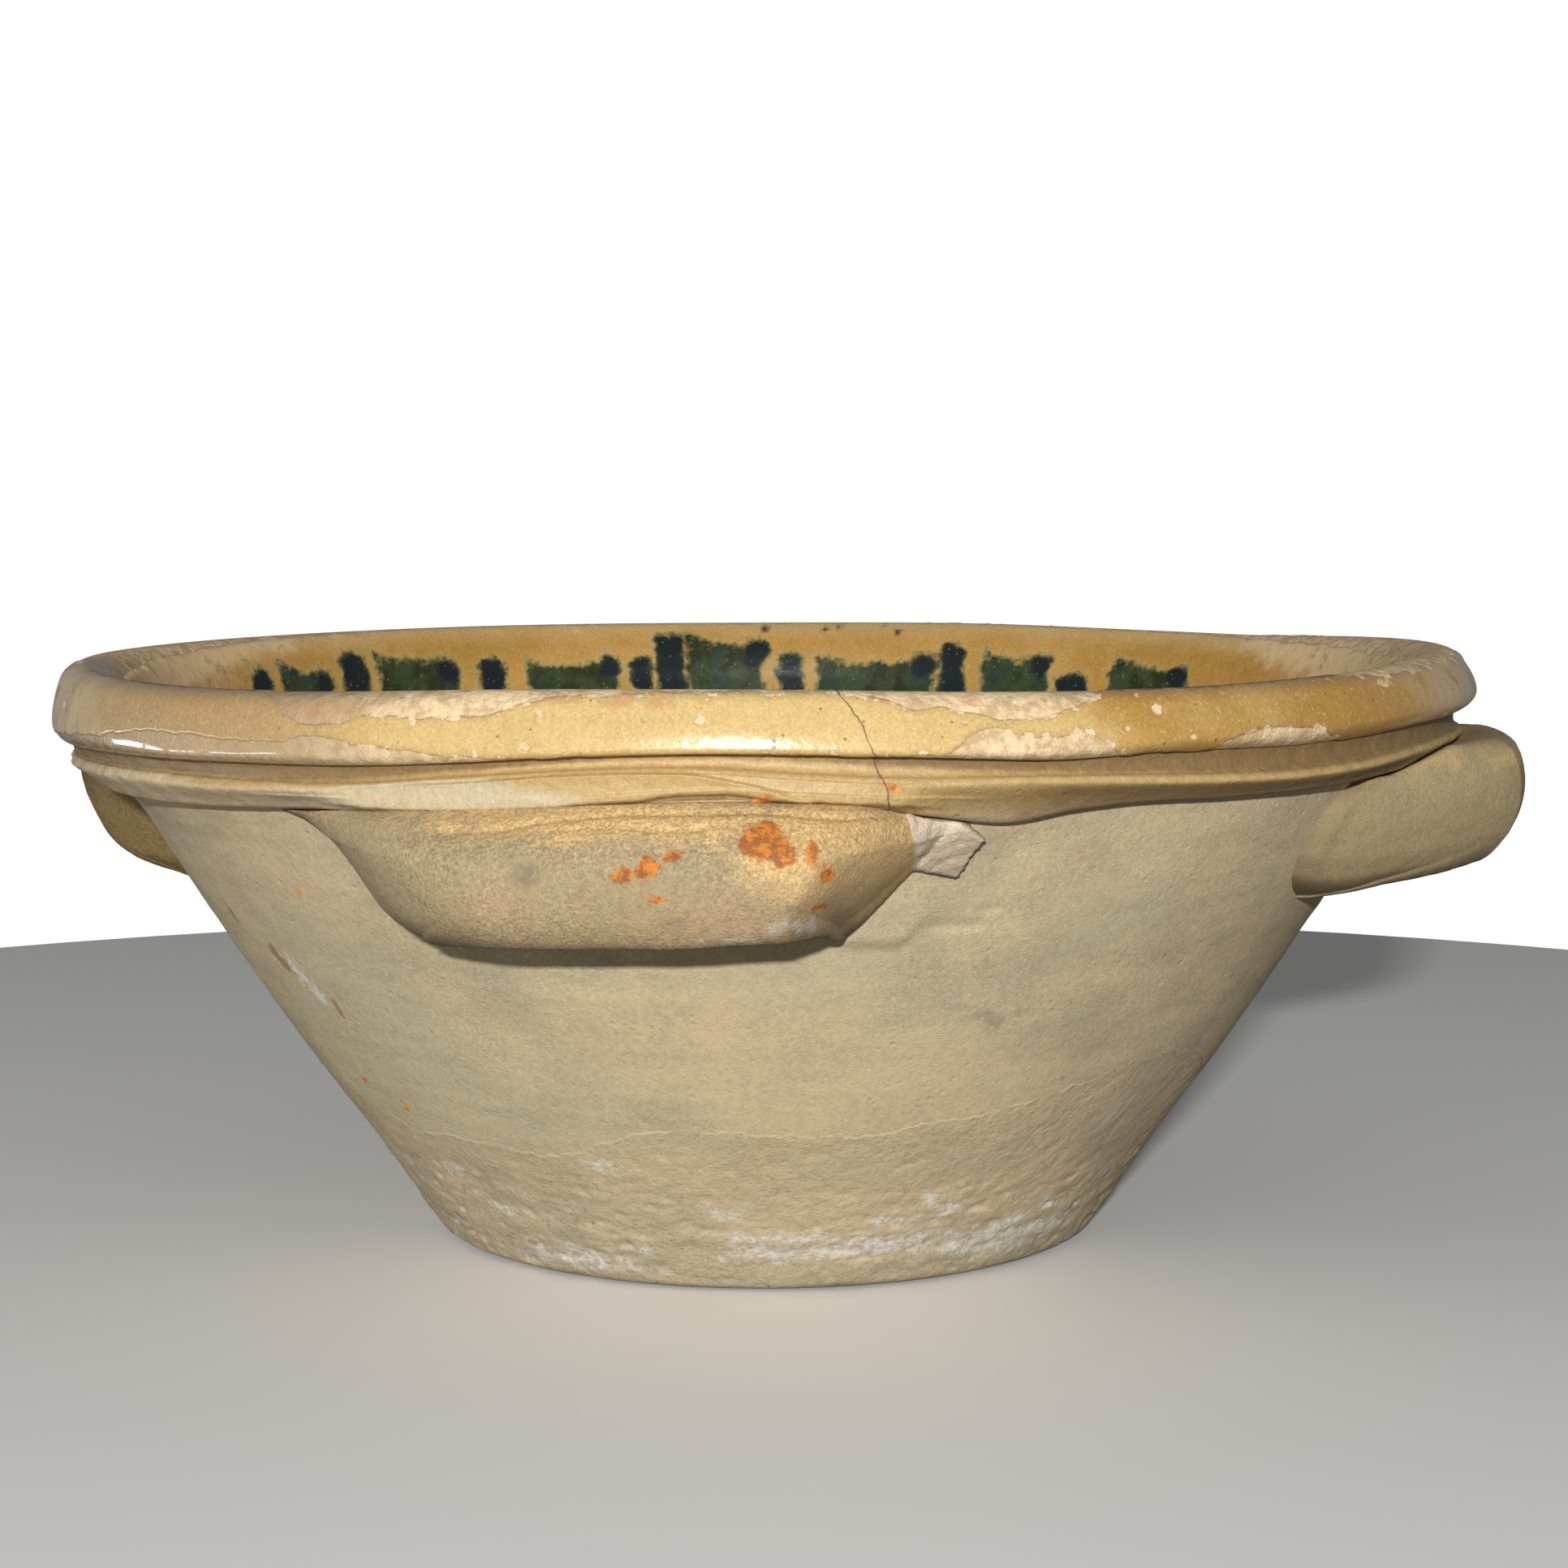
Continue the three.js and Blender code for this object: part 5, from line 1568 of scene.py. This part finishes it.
class BASIN_OT_wall(bpy.types.Operator):
    """Build the wall of the bowl"""

    bl_idname = "basin.wall"
    bl_label = "Wall"

    def execute(self, context):
        sizes, colours = context.scene.basin_sizes, context.scene.basin_colours
        turn, radius, height = wall_shape(sizes)
        marks = wall_marks(sizes, turn, height, radius)
        points = settled(sizes, radius, height, turn)
        make_piece("clay_wall", points, True, marks, outside_clay(colours), "bowl_wall")
        return {"FINISHED"}


class BASIN_OT_collar(bpy.types.Operator):
    """Build the collar under the rim"""

    bl_idname = "basin.collar"
    bl_label = "Collar"

    def execute(self, context):
        sizes, colours = context.scene.basin_sizes, context.scene.basin_colours
        turn, radius, height, split, opened = collar_shape(sizes)
        marks = collar_marks(sizes, turn, radius, height, split, opened)
        points = settled(sizes, radius, height, turn)
        material = collar_material(colours)
        make_piece("clay_collar", points, True, marks, material, "collar_ridge")
        return {"FINISHED"}


class BASIN_OT_rim(bpy.types.Operator):
    """Build the clay of the rim roll"""

    bl_idname = "basin.rim"
    bl_label = "Rim roll"

    def execute(self, context):
        sizes, colours = context.scene.basin_sizes, context.scene.basin_colours
        turn, radius, height = rim_shape(sizes)
        marks = {
            "crack": crack_distance(turn, height, radius),
            "gloss": stretch(turn, *GLOSS_STRETCH),
            "blush": patches(turn, height, radius, BLUSH),
        }
        points = settled(sizes, radius, height, turn)
        make_piece("clay_rim", points, True, marks, rim_clay_material(colours), "rim_roll")
        return {"FINISHED"}


class BASIN_OT_handles(bpy.types.Operator):
    """Build the four ear handles"""

    bl_idname = "basin.handles"
    bl_label = "Handles"

    def execute(self, context):
        sizes, colours = context.scene.basin_sizes, context.scene.basin_colours
        for number, own in enumerate(HANDLES):
            turn, radius, height, down = handle_shape(sizes, own)
            points = settled(sizes, radius, height, turn)
            broken = polygon(turn, height, radius, own["scar"]) if own["scar"] else 0 * radius + FAR
            normal = normals(points)
            if (normal * (points - points.mean((0, 1)))).sum() < 0:
                normal = -normal
            points = points + normal * handle_skin(own, number, points, turn, broken)[..., None]
            level = points[..., 2]
            # Faces that look down, for the painted shade beneath the handle.
            facing_down = ease(normal[..., 2], -0.5, -0.9)
            outward = (normal[..., :2] * points[..., :2]).sum(-1)
            hidden = FAR * ease(outward / np.hypot(points[..., 0], points[..., 1]), 0.0, -0.2)
            stains = skin_marks(sizes, turn, level, radius)
            marks = {
                "smear": patches(turn, level, radius, own["smears"]),
                "scar": broken,
                # Dirt and painted shade where the handle meets the wall.
                "joint": down,
                # Painted shade of the handle.
                "crease": handle_painted_shade(own, turn, level, down, facing_down),
                **{name: mark + hidden for name, mark in stains.items()},
            }
            name = own["name"]
            material = handle_material(own, colours)
            make_piece(f"ear_{name}", points, False, marks, material, f"{name}_handle")
        return {"FINISHED"}


class BASIN_OT_bowl_glaze(bpy.types.Operator):
    """Build the glaze inside the bowl"""

    bl_idname = "basin.bowl_glaze"
    bl_label = "Glaze of the bowl"

    def execute(self, context):
        sizes, colours = context.scene.basin_sizes, context.scene.basin_colours
        turn, radius, height, inset = bowl_glaze_shape(sizes)
        green, ink = brush_marks(sizes, turn, height)
        place = spun(radius, height, turn)
        bare = patches(turn, 0 * turn, sizes.rim_radius, BARE_INSIDE)
        reach = blend(1.0, 16.0, ease(bare, -12, 8))
        worn = reach - inset + 2 * cloud(place, 20 * mm, 53, 2)
        marks = {"green": green, "ink": ink, "inset": inset, "worn": worn}
        points = settled(sizes, radius, height, turn)
        material = bowl_glaze_material(colours)
        make_piece("glaze_bowl", points, False, marks, material, "bowl_glaze")
        return {"FINISHED"}


class BASIN_OT_rim_glaze(bpy.types.Operator):
    """Build the glaze on the rim"""

    bl_idname = "basin.rim_glaze"
    bl_label = "Glaze of the rim"

    def execute(self, context):
        sizes, colours = context.scene.basin_sizes, context.scene.basin_colours
        turn, radius, height, inset, chips = rim_glaze_shape(sizes)
        marks = {"inset": inset, "chips": chips, **rim_glaze_marks(turn, radius, height)}
        points = settled(sizes, radius, height, turn)
        make_piece("glaze_rim", points, True, marks, rim_glaze_material(colours), "rim_glaze")
        return {"FINISHED"}


def make_surround(stage):
    """Even light from all round, which the camera sees as white."""
    world = bpy.data.worlds.new("surround")
    world.use_nodes = True
    shade = world.node_tree.nodes["Background"]
    shade.inputs["Color"].default_value = (*stage.sky, 1.0)
    build = Tree(world.node_tree)
    seen = build.add("ShaderNodeLightPath").outputs["Is Camera Ray"]
    inputs = {"Value": seen, "To Min": stage.sky_strength, "To Max": SURROUND_SEEN}
    build.link(build.add("ShaderNodeMapRange", inputs).outputs[0], shade.inputs["Strength"])
    return world


def add_camera(stage):
    """The camera at the photo's angle."""
    camera = bpy.data.cameras.new("camera")
    camera.lens = stage.focal_length
    camera.sensor_width = 36.0
    camera.clip_start = 0.01
    view = bpy.data.objects.new("camera", camera)
    aside, ahead = np.sin(stage.view_turn), -np.cos(stage.view_turn)
    view.location = (stage.view_distance * aside, stage.view_distance * ahead, stage.view_height)
    view.rotation_euler = (np.pi / 2 - stage.view_pitch, 0.0, stage.view_turn - stage.view_swing)
    bpy.context.scene.collection.objects.link(view)
    return view


def add_floor(stage):
    """A round floor just below the foot: a grid of rings, closed by one vertex in the middle."""
    rows, columns = 12, 96
    turn = np.linspace(0, 2 * np.pi, columns, endpoint=False)[None, :]
    reach = np.linspace(0.02, 1.0, rows)[:, None] * stage.floor_radius
    points = np.stack([reach * np.cos(turn), reach * np.sin(turn), 0 * reach * turn - FLOOR_DROP], axis=-1)
    grid = np.arange(rows * columns).reshape(rows, columns)
    right = np.roll(grid, -1, 1)
    quads = np.stack([grid[:-1], grid[1:], right[1:], right[:-1]], -1).reshape(-1, 4)
    middle = np.stack([np.full(columns, rows * columns), grid[0], right[0]], 1)
    vertices = np.concatenate([points.reshape(-1, 3), points[:1, 0] * np.array([0, 0, 1])])
    mesh = bpy.data.meshes.new("floor")
    mesh.from_pydata(vertices.tolist(), [], quads.tolist() + middle.tolist())
    mesh.materials.append(floor_material(stage))
    floor = bpy.data.objects.new("floor", mesh)
    bpy.context.scene.collection.objects.link(floor)


def floor_material(stage):
    """Plain pale floor that throws little light back, so that the undersides keep their shade."""
    material, build, shader = new_material("pale_floor", 0.3)
    seen = build.add("ShaderNodeLightPath").outputs["Is Camera Ray"]
    tint = build.mix(seen, [FLOOR_BOUNCE * value for value in stage.floor], stage.floor)
    build.link(tint, shader.inputs["Base Color"])
    shader.inputs["Roughness"].default_value = 0.55
    return material


def add_light(name, power, stage):
    """A soft rectangular light that looks at the basin below its rim."""
    size, from_camera, distance, height = LIGHTS[name]
    turn = stage.view_turn + from_camera
    light = bpy.data.lights.new(name, "AREA")
    light.shape = "RECTANGLE"
    light.size, light.size_y = size
    light.energy = power
    lamp = bpy.data.objects.new(name, light)
    lamp.location = (distance * np.sin(turn), -distance * np.cos(turn), height)
    lamp.rotation_euler = (np.pi / 2 - np.arctan2(height - LIGHT_AIM, distance), 0.0, turn)
    bpy.context.scene.collection.objects.link(lamp)


class BASIN_OT_stage(bpy.types.Operator):
    """Set up the floor, the light and the camera"""

    bl_idname = "basin.stage"
    bl_label = "Stage"

    def execute(self, context):
        scene, stage = context.scene, context.scene.basin_stage
        add_floor(stage)
        scene.world = make_surround(stage)
        scene.view_settings.view_transform = "Standard"
        add_light("key", stage.key_power, stage)
        add_light("side", stage.side_power, stage)
        scene.camera = add_camera(stage)
        return {"FINISHED"}


class BASIN_PT_panel(bpy.types.Panel):
    """Lists the pieces of the basin"""

    bl_idname = "BASIN_PT_panel"
    bl_label = "Earthenware basin"
    bl_space_type = "VIEW_3D"
    bl_region_type = "UI"
    bl_category = "Basin"

    def draw(self, context):
        for operator in OPERATORS:
            self.layout.operator(operator.bl_idname)
        for group in (context.scene.basin_sizes, context.scene.basin_colours, context.scene.basin_stage):
            box = self.layout.box()
            for name in group.bl_rna.properties.keys():
                if name not in ("rna_type", "name"):
                    box.prop(group, name)


OPERATORS = (BASIN_OT_base, BASIN_OT_wall, BASIN_OT_collar, BASIN_OT_rim, BASIN_OT_handles,
             BASIN_OT_bowl_glaze, BASIN_OT_rim_glaze, BASIN_OT_stage)
GROUPS = {"basin_sizes": BasinSizes, "basin_colours": BasinColours, "basin_stage": BasinStage}


def register():
    for cls in (*GROUPS.values(), *OPERATORS, BASIN_PT_panel):
        bpy.utils.register_class(cls)
    for name, cls in GROUPS.items():
        setattr(bpy.types.Scene, name, bpy.props.PointerProperty(type=cls))


def unregister():
    for name in GROUPS:
        delattr(bpy.types.Scene, name)
    for cls in (BASIN_PT_panel, *reversed(OPERATORS), *reversed(GROUPS.values())):
        bpy.utils.unregister_class(cls)


def main():
    register()
    for make_group in (make_clay_group, make_ragged_group, make_speck_group, make_glaze_group):
        make_group()
    for operator in OPERATORS:
        area, name = operator.bl_idname.split(".")
        getattr(getattr(bpy.ops, area), name)()


if __name__ == "__main__":
    main()
